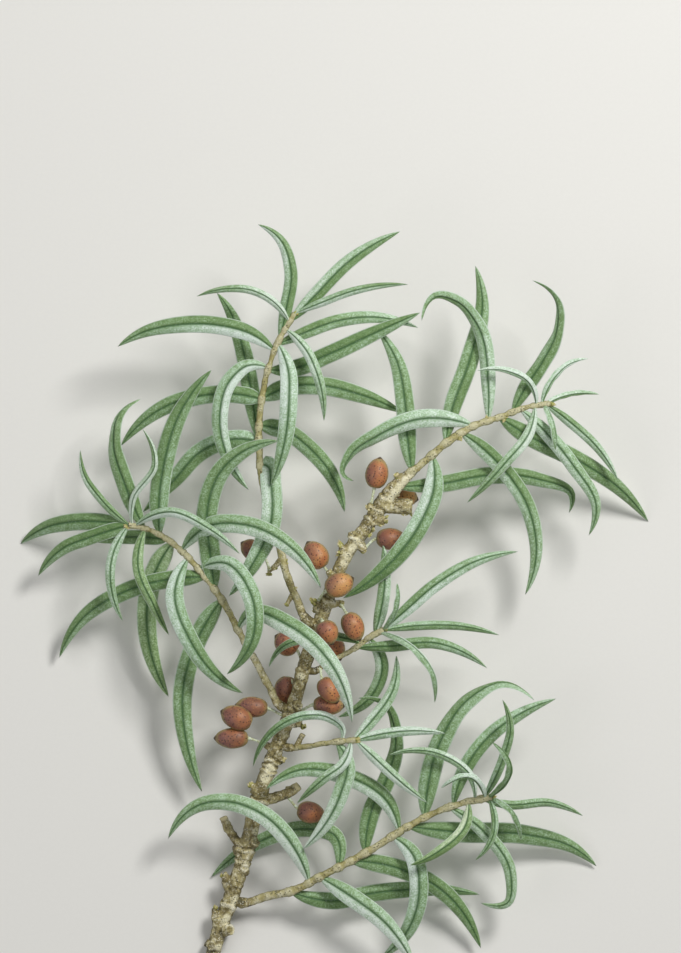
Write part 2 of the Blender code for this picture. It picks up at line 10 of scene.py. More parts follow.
import bpy
import numpy as np
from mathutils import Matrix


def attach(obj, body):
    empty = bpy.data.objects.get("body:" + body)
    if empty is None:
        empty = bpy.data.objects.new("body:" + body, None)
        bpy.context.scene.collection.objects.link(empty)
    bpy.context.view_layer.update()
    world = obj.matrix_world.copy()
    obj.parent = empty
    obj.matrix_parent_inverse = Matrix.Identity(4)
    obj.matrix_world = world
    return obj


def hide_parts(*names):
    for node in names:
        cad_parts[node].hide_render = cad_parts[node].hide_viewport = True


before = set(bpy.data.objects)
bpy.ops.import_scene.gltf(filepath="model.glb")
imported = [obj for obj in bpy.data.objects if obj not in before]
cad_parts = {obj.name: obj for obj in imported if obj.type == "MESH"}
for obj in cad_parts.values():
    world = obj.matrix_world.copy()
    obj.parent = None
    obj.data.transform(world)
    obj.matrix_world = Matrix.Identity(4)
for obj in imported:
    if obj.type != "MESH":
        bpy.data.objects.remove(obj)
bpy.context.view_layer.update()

bl_info = {
    "name": "Sea buckthorn sprig",
    "version": (1, 0, 0),
    "blender": (4, 5, 0),
    "location": "3D View > Sidebar > Sprig",
    "description": "Builds the leaves, bark and berries of a cut sprig of sea buckthorn",
    "category": "Object",
}

# Sizes that the part's source gives too
MM = 0.001
PIXEL = 0.3 * MM
MIDDLE = (334.5, 595.9)
LAYER = 1.3 * MM
WIDEST_AT = 0.4

# The photograph's frame
IMAGE = (681, 953)
PLANT_HEIGHT = 14 * MM  # the level that one pixel measures PIXEL at
SENSOR = 36.0

# The share of its length by which a leaf is usually as wide as it gets
FULL_BY = 0.3

# How finely shapes are cut
LEAF_ROWS = 44
LEAF_ACROSS = np.array([-1, -0.94, -0.8, -0.58, -0.36, -0.18, -0.07, 0, 0.07, 0.18, 0.36, 0.58, 0.8, 0.94, 1])
TWIG_STEP = 0.4 * MM
TWIG_SIDES = 24
STEM_STEP = 0.6 * MM
STEM_SIDES = 32
FINE_POINTS = 200
BERRY_GRID = (40, 48)
STALK_SIDES = 10
BUD_GRID = (7, 9)

# Wood: each point is x, y, height, diameter in pixels
MAIN_STEM = [
    (210, 965, 1.7, 14), (218, 935, 2.5, 15), (232, 895, 4.3, 16), (245, 855, 6.8, 16),
    (258, 800, 9.6, 15.5), (274, 755, 12, 15.5), (295, 700, 15, 13.5), (306, 660, 16.8, 14),
    (320, 622, 18.2, 14), (332, 587, 19.2, 14), (345, 557, 20.2, 13), (366, 527, 21.2, 14),
    (386, 498, 22, 16),
]
CROWN_TWIG = [
    (307.5, 620, 18.9, 9), (297, 600, 18.2, 8.5), (287, 575, 17.6, 8), (281, 552, 17.6, 8),
    (272, 520, 18.6, 7.5), (262, 480, 20.3, 7), (259, 450, 21.6, 7), (261, 405, 23, 6.5),
    (266, 378, 24, 6), (274, 352, 25, 5.5), (285, 330, 25.8, 5), (295, 314, 26.2, 4.5),
]
LEFT_TWIG = [
    (281, 706, 15, 8), (270, 688, 15.6, 8), (258, 665, 16.2, 7.5), (247, 646, 16.8, 7),
    (236, 625, 17.3, 7), (219, 595, 17.9, 6.5), (198, 568, 17.5, 6), (175, 545, 16.9, 5.5),
    (155, 532, 16.4, 5), (129, 525, 16, 4.5),
]
RIGHT_TWIG = [
    (390.5, 493, 22.1, 13), (402, 480, 22.4, 9), (425, 461, 22.8, 7.5), (450, 440, 23, 8),
    (476, 425, 22.3, 7), (500, 417, 21.6, 6), (528, 407, 20.7, 5), (550, 404, 20.2, 4.5),
]
SIDE_TWIG = [
    (314, 671, 16.5, 6), (325, 664, 17, 5.5), (352, 650, 18.3, 5), (373, 635, 19.3, 5),
    (384, 630, 19.8, 4.5),
]
MIDDLE_TWIG = [
    (287.5, 747.5, 13, 6), (303, 746.5, 15.5, 6), (318, 744, 18, 5.5), (340, 741, 20.5, 5),
    (356, 740, 21.8, 4.5),
]
LOWER_TWIG = [
    (241.5, 903, 4.2, 9), (265, 897, 5.6, 9), (295, 890, 8, 8.5), (320, 877, 10, 8),
    (345, 864, 11.7, 7.5), (372, 849, 12.6, 7.5), (410, 825, 14, 7), (438, 811, 14.7, 6.5),
    (474, 800, 15.2, 6), (492, 797, 15.4, 5),
]

# Spurs and cut stubs: each point is x, y, height above the wood they grow from, diameter in pixels
MAIN_SPURS = [
    [(214, 948, 0, 8), (205, 943, 0.4, 6)],
    [(221, 926, 0, 8), (213, 909, 1.4, 4)],
    [(224, 931, 0, 8), (232, 929, 0.4, 6)],
    [(234, 890, 0, 8), (224, 873, 1.2, 4)],
    [(246, 852, 0, 8), (231, 833, 1.2, 7), (223, 817, 1.8, 6.5)],
    [(259, 800, 0, 9), (283, 795, 0.6, 8), (299, 785.5, 1.2, 7)],
    [(260, 801, 0, 7), (252, 784, 1.2, 4)],
    [(273, 760, 0, 8), (283, 759, 0.5, 6)],
    [(276, 750, 0, 9), (265, 744, 0.3, 5)],
    [(290, 722, 0, 8), (302, 724, 0.5, 6)],
    [(322, 612, 0, 8), (315, 601, 1.2, 5)],
    [(326, 604, 0, 9), (341, 603, 0.6, 5)],
    [(334, 580, 0, 8), (328, 571, 0.8, 4)],
    [(349, 550, 0, 9), (340, 548, 0.8, 6)],
    [(355, 542, 0, 8), (351, 532, 1, 5)],
    [(357, 541, 0, 9), (364, 551, 0.4, 6)],
    [(378, 510, 0, 9), (367, 506, 0.8, 5)],
    [(373, 519, 0, 9), (385, 521, 0.6, 6)],
    [(381, 506, 0, 13), (399, 506, -0.3, 13), (412, 507, -0.4, 12)],
]
CROWN_SPURS = [
    [(281, 560, 0, 7), (268, 572, -0.6, 4)],
    [(294, 592, 0, 7), (287, 604, 0.2, 5)],
]
RIGHT_SPURS = [
    [(402, 480, 0, 8), (396, 474, 1, 5)],
]
MIDDLE_SPURS = [
    [(296, 747, 0, 6), (303, 734, 1, 5)],
]


def leaf(tones, width, middle, tip, route, roll=(0, 0), swollen_by=FULL_BY):
    """A leaf's tones, width in mm, heights halfway and at the tip, route, rolls, and where it fills out.

    The tones are digits from 0, dark green, to 9, silvery: the left half at its base and tip, then the
    right half, seen from the twig. Besides the silvery scales they are painted light and shade: a lit,
    pale half and a shaded, darker one. A w after them makes the leaf yellowish.
    """
    return {
        "tones": tones, "width": width * MM, "middle": middle, "tip": tip, "route": route, "roll": roll,
        "swollen_by": swollen_by,
    }


CROWN_LEAVES = [
    leaf("5834", 3.9, 27, 26, [(280, 340), (286, 310), (291, 272), (280, 240), (258, 225)]),
    leaf("8594", 2.4, 30, 28, [(287, 320), (272, 301), (250, 290.5), (226, 289.5), (197, 297)]),
    leaf("4444", 5.1, 19, 21, [(258, 440), (250, 385), (242, 345), (228, 308), (217, 293)]),
    leaf("9534", 5.1, 25, 21, [(271, 350), (250, 334), (220, 326), (180, 325), (140, 334), (118, 347)]),
    leaf("9765", 4.8, 25, 18, [(266, 368), (248, 366), (230, 381), (220, 415), (229, 460), (249, 490)]),
    leaf("5434", 5.1, 20, 14, [(259, 400), (228, 394), (196, 397), (165, 407), (137, 427), (121, 446)],
         swollen_by=0.1),
    leaf("4364", 5.4, 17, 11, [(257, 443), (228, 440), (199, 453), (176, 478), (143, 512)], swollen_by=0.12),
    leaf("6486", 6.0, 24.5, 20.5,
         [(265, 464.5), (267.5, 466), (271, 484), (271, 522), (252, 565), (229, 596)],
         swollen_by=0.04),
    leaf("7595", 5.1, 29, 24.5, [(278, 343), (288, 370), (289, 400), (284, 445), (271, 486)]),
    leaf("7596", 3.0, 29.5, 27, [(289, 331), (305, 349), (318, 377), (324, 421)]),
    leaf("7634", 4.2, 27, 24, [(293, 324), (314, 297), (350, 261), (400, 232)]),
    leaf("6486", 2.4, 30, 28, [(299, 316), (322, 303), (350, 292.5), (382, 286), (408, 285)]),
    leaf("3756", 3.9, 24, 21.5, [(281, 348), (305, 333), (337, 321.5), (373, 317.5), (418, 328)]),
    leaf("2345", 5.1, 25, 25.5, [(270, 370), (297, 368), (328, 355), (380, 331), (420, 313)],
         swollen_by=0.22),
    leaf("3354", 5.4, 21, 17, [(264, 401), (290, 387), (322, 386), (357, 394), (403, 413)], swollen_by=0.14),
    leaf("3454", 5.1, 22, 18, [(261, 427), (285, 431), (310, 449), (331, 474), (344.5, 512)],
         swollen_by=0.12),
]
LEFT_LEAVES = [
    leaf("4354", 5.7, 21, 24, [(161, 533), (160, 490), (165, 460), (177, 420), (212, 370)], swollen_by=0.22),
    leaf("4445", 6.1, 23.5, 30, [(215, 590), (210, 550), (207, 515), (222, 470), (248, 449), (279, 441)],
         swollen_by=0.2),
    leaf("5843", 2.4, 16, 14, [(127, 524), (100, 498), (84, 474), (80.5, 450)]),
    leaf("4533", 5.1, 10, 0, [(129, 525), (103, 522), (73, 522), (45, 528), (20, 544)]),
    leaf("4523", 4.3, 13.5, 7, [(131, 527), (90, 537.5), (63, 548.5), (38, 576)], swollen_by=0.2),
    leaf("3433", 4.2, 10.5, 5, [(165, 543), (135, 537), (88, 541)], swollen_by=0.2),
    leaf("4634", 5.3, 18, 16, [(144, 526), (125, 484), (114, 442), (119, 416), (141, 399)], roll=(0, 78)),
    leaf("9498", 2.1, 22, 24, [(132, 523), (133, 500), (155, 465), (143, 429)], swollen_by=0.4),
    leaf("6697", 2.9, 24.5, 23, [(136, 523), (170, 512), (208, 528), (240, 554)]),
    leaf("5578", 5.4, 27, 25.5, [(182, 551), (207, 527), (251, 526), (291, 547.5), (321, 588)]),
    leaf("7576", 2.9, 17, 13, [(121, 532), (111, 564), (114, 600), (123, 621)]),
    leaf("6455w", 3.3, 16.5, 14, [(143, 535), (138, 565), (154, 606), (169, 635)]),
    leaf("6565w", 5.8, 8, 5, [(168, 548), (152, 580), (147, 628), (168.5, 697)], swollen_by=0.16),
    leaf("3533", 5.1, 12.5, 3, [(202, 581), (172, 579), (124, 592), (81, 620), (59, 658)], swollen_by=0.15),
    leaf("6385", 5.4, 21, 15, [(185, 561), (175, 590), (190, 640), (220, 679), (243, 693)]),
    leaf("4554", 5.7, 12, 7, [(219, 601), (199, 636), (183, 690), (188, 750), (202, 792)], swollen_by=0.16),
    leaf("6384", 5.4, 28, 22, [(200, 567), (225, 563), (251, 594), (253, 637), (227, 674)]),
    leaf("4888", 5.7, 30, 24, [(238, 630), (250, 614), (291, 626.5), (327, 658), (352, 722)]),
]
RIGHT_LEAVES = [
    leaf("5535", 5.4, 22, 20, [(411, 471), (407, 435), (405, 405), (396, 360), (377, 329)]),
    leaf("8574", 5.4, 27, 24, [(473, 427), (418, 419.5), (375, 437), (351, 454), (343.5, 474), (354, 481)],
         roll=(0, 60)),
    leaf("5435", 5.4, 21, 20, [(443, 441), (451, 412), (469, 361), (482, 300), (475, 266)]),
    leaf("7475", 4.5, 24, 26, [(486, 415), (488, 385), (477, 325), (459, 303), (436, 296.5), (421.5, 321)],
         roll=(0, 60)),
    leaf("4634", 4.7, 23, 24, [(511, 410), (525, 388), (541, 364), (557, 330), (556, 300), (532, 281)],
         roll=(0, 95), swollen_by=0.26),
    leaf("6798", 2.1, 26, 27, [(535, 402), (528, 382), (508, 371.5), (477, 371)], roll=(20, 20)),
    leaf("7859", 2.0, 21, 19, [(542, 402), (553, 379), (571, 363), (588, 359)], roll=(-20, -20)),
    leaf("8644", 1.8, 18, 15, [(545, 403), (564, 396), (599, 394.5)], roll=(-20, -20)),
    leaf("9475", 3.2, 25, 22, [(535.5, 407), (530, 430), (504, 464), (467, 502.5)]),
    leaf("3444", 5.4, 14, 0, [(501, 424), (530, 437), (575, 459), (620, 489), (649, 522)], swollen_by=0.2),
    leaf("6586", 4.2, 19, 15, [(520, 411), (543, 430), (573, 466), (596, 508), (588.5, 535.5)]),
    leaf("8665", 2.4, 23, 22, [(544, 407), (552, 422), (555, 450)], roll=(50, 50)),
    leaf("4776", 2.9, 17, 13, [(545, 407), (568, 421), (600, 451), (618, 480)]),
    leaf("3675", 4.8, 17, 12, [(466, 441), (501, 467), (528, 508), (536, 555), (525, 595)], swollen_by=0.2),
    leaf("3345", 5.1, 16.5, 11, [(400, 490), (441, 484), (490, 475.5), (538, 479.5), (572, 495),
         (569, 513)]),
    leaf("5283", 5.9, 25, 22, [(435, 459), (434, 484), (419, 525), (386, 567), (343, 598)], swollen_by=0.25),
]
SIDE_LEAVES = [
    leaf("5577", 3.8, 21.5, 23.3, [(374, 633), (382, 605), (385, 572), (383, 545)]),
    leaf("5576", 2.0, 25, 26, [(383, 630), (396, 610), (397, 583)], roll=(-50, -50)),
    leaf("4686", 3.9, 22, 18, [(383, 631), (406, 610), (435, 585), (480, 559.5), (518, 551.5)]),
    leaf("6544", 2.7, 20, 17, [(386, 631), (428, 625), (460, 626), (499, 635)]),
    leaf("4536", 3.5, 21.5, 17, [(358, 650), (388, 646), (436, 643), (487, 668)]),
    leaf("9865", 2.6, 26, 22, [(381, 634), (413, 647), (435, 680), (434.5, 702)], roll=(45, 45)),
    leaf("3474", 3.9, 16, 10.5, [(371, 642), (382, 665), (375, 690), (338, 717)]),
    leaf("3544", 2.7, 21.7, 19.5, [(361, 644), (336, 636), (308, 638), (281, 648), (269, 667)]),
]
MIDDLE_LEAVES = [
    leaf("8666", 3.5, 21, 20, [(353, 738), (371, 721), (394, 686), (396, 655)]),
    leaf("8868", 2.9, 22.5, 21, [(355, 740), (382, 733.5), (410, 730.5), (445, 733)]),
    leaf("7699", 3.0, 20.5, 18, [(356, 740), (375, 758), (407, 787), (427, 802)]),
    leaf("6859", 4.8, 20, 14, [(336, 743), (347, 762), (341, 792), (303, 849)]),
    leaf("9484", 3.0, 22.5, 18, [(351, 742), (344, 762), (324, 778), (297, 803)]),
    leaf("7492", 2.7, 20.5, 14, [(341, 739), (343, 730), (328, 717), (303, 715.5), (267, 737), (253, 767)]),
]
LOWER_LEAVES = [
    leaf("4433", 5.3, 14, 17.5, [(364, 849), (371, 812), (387, 778), (396, 740), (385, 705), (358, 698)],
         roll=(0, 70), swollen_by=0.2),
    leaf("8644", 5.1, 17, 16, [(397, 829), (388, 803), (346, 776), (297, 770.5), (266, 789)]),
    leaf("9565", 5.4, 16, 10, [(307, 881), (297, 853), (262, 814), (231, 802), (199, 805), (168, 839)]),
    leaf("4544", 4.8, 5.5, 0.8, [(338, 869), (335, 836), (306, 829), (262, 841), (211, 878)],
         swollen_by=0.25),
    leaf("4433", 5.1, 6.5, 4, [(292, 897), (335, 901), (370, 894), (430, 889.5), (480, 895)],
         swollen_by=0.24),
    leaf("5789", 5.4, 12, 8, [(324, 884), (350, 896), (388, 926), (414, 966)], swollen_by=0.3),
    leaf("5595", 5.4, 12.5, 4, [(392, 838), (411, 852), (419, 890), (408, 930), (381, 958)]),
    leaf("3344", 5.4, 9, 3, [(352, 865), (400, 869), (441, 890), (481, 949)], swollen_by=0.2),
    leaf("3444", 6.0, 8, 1, [(410, 831), (456, 832), (526, 835), (575, 849), (597, 867)]),
    leaf("5446", 6.0, 17.5, 20, [(423, 815), (428, 785), (440, 742), (469, 699), (504, 683), (534, 700)],
         roll=(0, 80), swollen_by=0.2),
    leaf("5635", 4.5, 17, 16, [(452, 804), (461, 777), (487, 738), (523, 712), (556, 698.5)]),
    leaf("6444", 2.7, 22, 24, [(483, 798), (503, 757), (510, 727), (502, 699)]),
    leaf("4533", 2.4, 25, 26, [(489, 797), (510, 768), (492, 741.5)], roll=(-40, -40)),
    leaf("6596", 2.4, 20, 18, [(474, 799), (471, 777), (440, 754), (388, 755)]),
    leaf("5497", 2.2, 23, 21, [(485, 797), (473, 778), (441, 787.5)], roll=(40, 40)),
    leaf("5545", 2.7, 15, 11, [(482, 800), (508, 804.5), (552, 803), (583, 816)]),
    leaf("9754", 2.0, 15.5, 12, [(490, 799), (509, 808), (521, 840)], roll=(50, 50)),
    leaf("5395w", 3.3, 18, 17, [(469, 803), (466, 823), (437, 852), (410, 865)]),
    leaf("6445", 2.1, 18.5, 17, [(489, 803), (493.5, 833), (475, 860)]),
    leaf("5675", 3.8, 13, 9, [(450, 811), (484, 832), (510, 871), (507, 903.5), (480.5, 903)]),
]


def berry(ripe, x, y, height, long, wide, apex, foot, wood):
    """A berry's ripeness from 0 to 1, centre, length and width in mm, apex, and its stalk's foot and wood."""
    return {
        "ripe": ripe, "centre": (x, y, height), "long": long * MM, "wide": wide * MM, "apex": apex,
        "foot": foot, "wood": wood,
    }


BERRIES = {
    "berry_top": [berry(0.5, 377, 473.5, 21.5, 9.3, 6.9, (380, 458), (371, 505), "main_stem")],
    "berry_behind_stub": [berry(1.0, 404, 496, 15.8, 8.2, 6.3, (415, 499), (404, 507), "main_stem")],
    "berry_below_stub": [berry(0.35, 391, 539, 17, 9.3, 6.6, (406, 540), (363, 549), "main_stem")],
    "berry_upper_left": [berry(0.6, 316, 555, 19, 9, 7.2, (308, 543), (329, 573), "main_stem")],
    "berry_front": [berry(0.8, 339, 584.5, 24.6, 9, 7.2, (353, 578), (317, 602), "main_stem")],
    "berry_crown": [berry(0.35, 254, 551, 14, 8.7, 6.6, (242, 543), (270, 570), "crown_shoot")],
    "berry_right": [berry(0.6, 353, 626, 22.5, 9, 6.6, (360, 640), (340, 603), "main_stem")],
    "berry_over_stem": [berry(0.5, 327, 632, 25.6, 7.5, 6.9, (332, 644), (321, 619), "main_stem")],
    "berry_under_leaf": [berry(0.45, 334, 648, 14.6, 7.8, 6.6, (339, 657), (310, 648), "main_stem")],
    "berry_left": [berry(0.4, 287, 643, 14.3, 7.8, 7.5, (276, 636), (303, 664), "main_stem")],
    "berry_behind_stem": [berry(0.3, 286, 691, 11.3, 9.3, 7.2, (284, 706), (298, 690), "main_stem")],
    "berries_left": [
        berry(0.15, 252, 707, 14.2, 9.9, 6.3, (236, 706), (288, 718), "main_stem"),
        berry(0.3, 237, 717.5, 15.6, 9.9, 7.2, (221, 711), None, None),
        berry(0.2, 232, 738, 14.6, 10.2, 6.3, (216, 738), (268, 745), "main_stem"),
    ],
    "berries_right": [
        berry(0.5, 329, 690, 18.6, 8.6, 6.3, (337, 702), (320, 667), "side_shoot"),
        berry(0.35, 328, 705, 16.5, 9.3, 6, (343, 706), (297, 713), "main_stem"),
    ],
    "berry_low": [berry(0.3, 310.5, 812.5, 9.5, 8.6, 6.6, (324, 816), (287, 796), "main_stem")],
}


# The old stem runs on a little way inside the right twig
STEM_RUN_OUT = [(393, 490, 22.1, 15.5), (400, 482, 22.2, 14), (408, 475, 22.3, 11), (418, 467, 22.5, 7.5)]
# Short blunt knobs on the old wood, given as its spurs are
KNOBS = [
    [(217, 947, 0.5, 10), (211, 946, 2, 9)],
    [(224, 932, 0.8, 9), (230, 930, 2.4, 8.5)],
    [(220, 929, 0, 10), (216.5, 919, 1.2, 8.5), (214.8, 911, 1.4, 6)],
    [(232, 895, 0, 9), (227.5, 885, 1, 8), (225, 876, 1.4, 6.5)],
    [(243, 873, 0.4, 8), (248.5, 870.5, 0.8, 6)],
    [(250, 846, 0.4, 9), (256, 841.5, 1.8, 8.5)],
    [(296, 709, 0.4, 8), (298.5, 705, 1.8, 7.5)],
    [(243, 858, 0, 9), (236, 846, 1, 8.5)],
    [(288, 796, 0.6, 6), (288.5, 787, 1.4, 5)],
    [(262, 799, 0, 10), (254, 789, 1, 8)],
    [(322, 616, 0, 8), (317, 606, 1, 7)],
    [(346, 556, 0, 8), (341, 553, 1, 6)],
]
# Bare, smooth wood, painted pale as a highlight as well: pixel x, y and radius in mm
BARE_WOOD_HIGHLIGHTS = [
    (411, 475, 1.2), (406, 480.5, 1.5), (400.5, 486.5, 1.5), (395.5, 492.5, 1.5), (391, 498, 1.2),
    (265, 778, 1.8),
    (270, 768, 1.5), (256, 832, 1.2), (236, 899, 1.1), (234, 903, 1.1), (227, 918, 1.2), (224.5, 923, 1.2),
    (301, 676, 1.2), (357, 541, 1.3), (353, 548, 1.5), (348, 556, 1.4), (344, 563, 1.3), (219, 948, 1.2),
]
# Round bud scars on the old wood: pixel x, y and radius in mm
BUD_SCARS = [
    (256, 841.5, 1.4), (298.5, 705, 1.3), (299, 685.5, 1.4), (303, 667, 1.1), (236, 640, 0.9),
    (228.5, 931, 1.9),
    (211, 946, 1.4), (244.5, 868.5, 1.1), (282, 735, 1),
]
# Raised rings round the main stem: pixel y, half width in mm, rise in mm
STEM_RINGS = [
    (760, 0.5, 0.45), (766, 0.5, 0.3), (771, 0.4, 0.4), (715, 0.5, 0.3), (722, 0.5, 0.25), (800, 0.7, 0.4),
    (850, 0.6, 0.3), (862, 0.5, 0.2), (905, 0.7, 0.3), (626, 0.7, 0.35), (600, 0.6, 0.4), (575, 0.5, 0.3),
    (540, 0.6, 0.45), (520, 0.5, 0.35), (510, 0.4, 0.3), (499, 0.5, 0.3), (670, 0.5, 0.2), (640, 0.4, 0.2),
]
# Ends of the wood that were cut or broken and show pale: pixel x, y and radius in mm
CUT_ENDS = [(223, 817, 1.3), (299, 785.5, 1.5), (288, 784, 1.1), (210, 965, 2.6), (303, 734, 0.8)]
# Clusters of bud scales: pixel x, y, the way they point, how many, and which wood they sit on
BUD_CLUSTERS = [
    (341, 545, (-1, 0.6), 7, "main"), (341, 553, (-1, -0.2), 6, "main"), (352, 536, (-0.6, 1), 6, "main"),
    (385, 521, (1, 0.7), 6, "main"), (380, 526, (1, -0.5), 7, "main"), (374, 530, (1, -0.7), 7, "main"),
    (369, 535, (1, -0.7), 5, "main"), (362, 550, (1, -0.6), 9, "main"), (388, 505, (-0.2, 0.4), 5, "main"),
    (371, 514, (-0.8, 0.5), 5, "main"), (408, 513, (0.3, -1), 6, "main"), (401, 514, (0, -1), 5, "main"),
    (370, 508, (-0.9, 0.6), 6, "main"), (330, 573, (-0.8, 0.8), 7, "main"),
    (314, 602, (-0.7, 0.9), 8, "main"),
    (317, 610, (-1, 0.2), 5, "main"), (340, 603, (1, 0.2), 8, "main"), (303, 726, (1, 0), 4, "main"),
    (283, 759, (1, 0), 4, "main"), (263, 744, (-1, 0.3), 4, "main"), (252, 785, (-0.6, 1), 4, "main"),
    (225, 876, (-0.3, 1), 3, "main"), (215, 911, (-0.3, 1), 3, "main"),
    (269, 573, (-1, 0), 5, "crown"), (278, 571, (-1, 0.3), 3, "crown"),
    (286, 563, (0.9, 0.6), 4, "crown"), (294, 589, (1, 0.5), 4, "crown"), (287, 604, (-1, -0.2), 3, "crown"),
    (397, 476, (-0.7, 0.8), 6, "right"), (411, 503, (1, 0.4), 5, "right"), (434, 452, (0.6, -1), 3, "right"),
    (461, 441, (0.7, -0.8), 5, "right"), (296, 315, (0.6, 1), 5, "crown"), (129, 525, (-1, 0.1), 5, "left"),
    (488, 420, (-0.1, 1), 4, "right"), (505, 422, (0.4, -1), 4, "right"), (475, 427, (-0.4, 1), 3, "right"),
    (550, 403.5, (1, 0.05), 5, "right"), (385, 629, (1, 0.6), 4, "side"), (357, 740, (1, 0), 4, "middle"),
    (493, 797, (1, 0.1), 5, "lower"), (246, 646, (1, -0.4), 3, "left"), (237, 624, (-1, 0.3), 3, "left"),
]


def spot(x, y, height):
    """A pixel of the drawing and a height in layers, as a point in metres."""
    return np.array([(x - MIDDLE[0]) * PIXEL, (MIDDLE[1] - y) * PIXEL, height * LAYER])


def spots(rows):
    """Many pixels with heights as points in metres: one row for each."""
    rows = np.asarray(rows, float)
    x, y = (rows[:, 0] - MIDDLE[0]) * PIXEL, (MIDDLE[1] - rows[:, 1]) * PIXEL
    return np.stack([x, y, rows[:, 2] * LAYER], 1)


def smooth(points, count, per_span=12):
    """A cubic curve through the points, with its own slope at each, cut into evenly spaced points."""
    points = np.array(points, float)
    knots = np.concatenate([[0], np.cumsum(np.linalg.norm(np.diff(points[:, :2], axis=0), axis=1))])
    slopes = np.gradient(points, knots, axis=0, edge_order=2 if len(points) > 2 else 1)
    fine = np.linspace(0, knots[-1], per_span * len(points))
    left = np.clip(np.searchsorted(knots, fine, "right") - 1, 0, len(knots) - 2)
    span = (knots[left + 1] - knots[left])[:, None]
    u = (fine - knots[left])[:, None] / span
    curve = (
        (1 + 2 * u) * (1 - u) ** 2 * points[left]
        + u * (1 - u) ** 2 * span * slopes[left]
        + u**2 * (3 - 2 * u) * points[left + 1]
        + u**2 * (u - 1) * span * slopes[left + 1]
    )
    lengths = np.concatenate([[0], np.cumsum(np.linalg.norm(np.diff(curve, axis=0), axis=1))])
    even = np.linspace(0, lengths[-1], count)
    return np.stack([np.interp(even, lengths, column) for column in curve.T], axis=1)


def nearest(wood, place):
    """The wood's own point closest to a pixel: x, y, height, diameter."""
    line = smooth(wood, 160)
    return line[np.argmin(np.hypot(line[:, 0] - place[0], line[:, 1] - place[1]))]


def ease(low, high, value):
    """0 below low, 1 above high and a smooth step between: 3t squared minus 2t cubed."""
    t = np.clip((value - low) / (high - low), 0, 1)
    return t * t * (3 - 2 * t)


def bump(distance, width):
    """A bell: e to the power of minus the squared distance over the width."""
    return np.exp(-((distance / width) ** 2))


def lattice_noise(points, cell, seed):
    """Random values from a fixed seed at the corners of a cubic lattice, blended smoothly, from -1 to 1."""
    values = np.random.default_rng(seed).random(4096) * 2 - 1
    scaled = points / cell
    base = np.floor(scaled).astype(np.int64)
    part = scaled - base
    part = part * part * (3 - 2 * part)
    total = np.zeros(points.shape[:-1])
    for corner in itertools.product((0, 1), repeat=3):
        near = np.array(corner)
        keys = (base + near) * np.array([73856093, 19349663, 83492791])
        weight = np.prod(np.where(near == 1, part, 1 - part), axis=-1)
        total += weight * values[(keys[..., 0] ^ keys[..., 1] ^ keys[..., 2]) & 4095]
    return total


def frames(path):
    """Along, sideways and up at each point of a path: sideways is level, at right angles to the path."""
    along = np.gradient(path, axis=0)
    along /= np.linalg.norm(along, axis=1)[:, None]
    side = np.cross(along, (0, 0, 1))
    side /= np.linalg.norm(side, axis=1)[:, None]
    return along, side, np.cross(side, along)


# Meshes


def closed_shell(rings, start, end, marks, finish=0):
    """A closed surface: rings of points joined by four-sided faces, with a fan to one point at each end.

    rings has one row of points for each ring, marks holds a number for each of those points, and the
    end points take the mean of their ring. Faces are turned to point outwards by the sign of the volume.
    """
    count, around = rings.shape[:2]
    points = np.concatenate([rings.reshape(-1, 3), [start, end]])
    index = np.arange(count * around).reshape(count, around)
    ahead = np.roll(index, -1, axis=1)
    quads = np.stack([index[:-1], ahead[:-1], ahead[1:], index[1:]], -1).reshape(-1, 4)
    first, last = len(points) - 2, len(points) - 1
    fans = np.concatenate([
        np.stack([ahead[0], index[0], np.full(around, first)], -1),
        np.stack([index[-1], ahead[-1], np.full(around, last)], -1),
    ])
    corners = np.concatenate([quads[:, [0, 1, 2]], quads[:, [0, 2, 3]], fans])
    middle = points.mean(axis=0)
    if np.linalg.det((points - middle)[corners]).sum() < 0:
        quads, fans = quads[:, ::-1], fans[:, ::-1]
    full = {
        name: np.concatenate([value.reshape(-1), [value[0].mean(), value[-1].mean()]])
        for name, value in marks.items()
    }
    return {"points": points, "quads": quads, "fans": fans, "marks": full, "finish": finish}


def mesh_object(name, shells, materials):
    """One object from closed shells: all points, then all faces, written to the mesh as whole arrays."""
    counts = [len(shell["points"]) for shell in shells]
    offsets = np.concatenate([[0], np.cumsum(counts)[:-1]])
    points = np.concatenate([shell["points"] for shell in shells])
    quads = np.concatenate([shell["quads"] + at for shell, at in zip(shells, offsets)])
    fans = np.concatenate([shell["fans"] + at for shell, at in zip(shells, offsets)])
    finish = np.concatenate(
        [np.full(len(shell["quads"]), shell["finish"]) for shell in shells]
        + [np.full(len(shell["fans"]), shell["finish"]) for shell in shells]
    )
    marks = {
        key: np.concatenate([shell["marks"][key] for shell in shells]) for key in shells[0]["marks"]
    }
    mesh = bpy.data.meshes.new(name)
    mesh.vertices.add(len(points))
    mesh.vertices.foreach_set("co", points.astype(np.float32).reshape(-1))
    corners = np.concatenate([quads.reshape(-1), fans.reshape(-1)])
    mesh.loops.add(len(corners))
    mesh.loops.foreach_set("vertex_index", corners.astype(np.int32))
    sizes = np.concatenate([np.full(len(quads), 4), np.full(len(fans), 3)])
    mesh.polygons.add(len(sizes))
    mesh.polygons.foreach_set("loop_start", np.concatenate([[0], np.cumsum(sizes)[:-1]]).astype(np.int32))
    mesh.polygons.foreach_set("material_index", finish.astype(np.int32))
    mesh.update(calc_edges=True)
    mesh.validate()
    for key, value in marks.items():
        mark(mesh, key, value)
    return finished_object(name, mesh, materials)


def mark(mesh, name, values):
    """Writes one number for each point of the mesh, for its material to read."""
    layer = mesh.attributes.new(name, "FLOAT", "POINT")
    layer.data.foreach_set("value", np.asarray(values, np.float32))


def finished_object(name, mesh, materials):
    for material in materials:
        mesh.materials.append(material)
    mesh.shade_smooth()
    made = bpy.data.objects.new(name, mesh)
    bpy.context.scene.collection.objects.link(made)
    return made


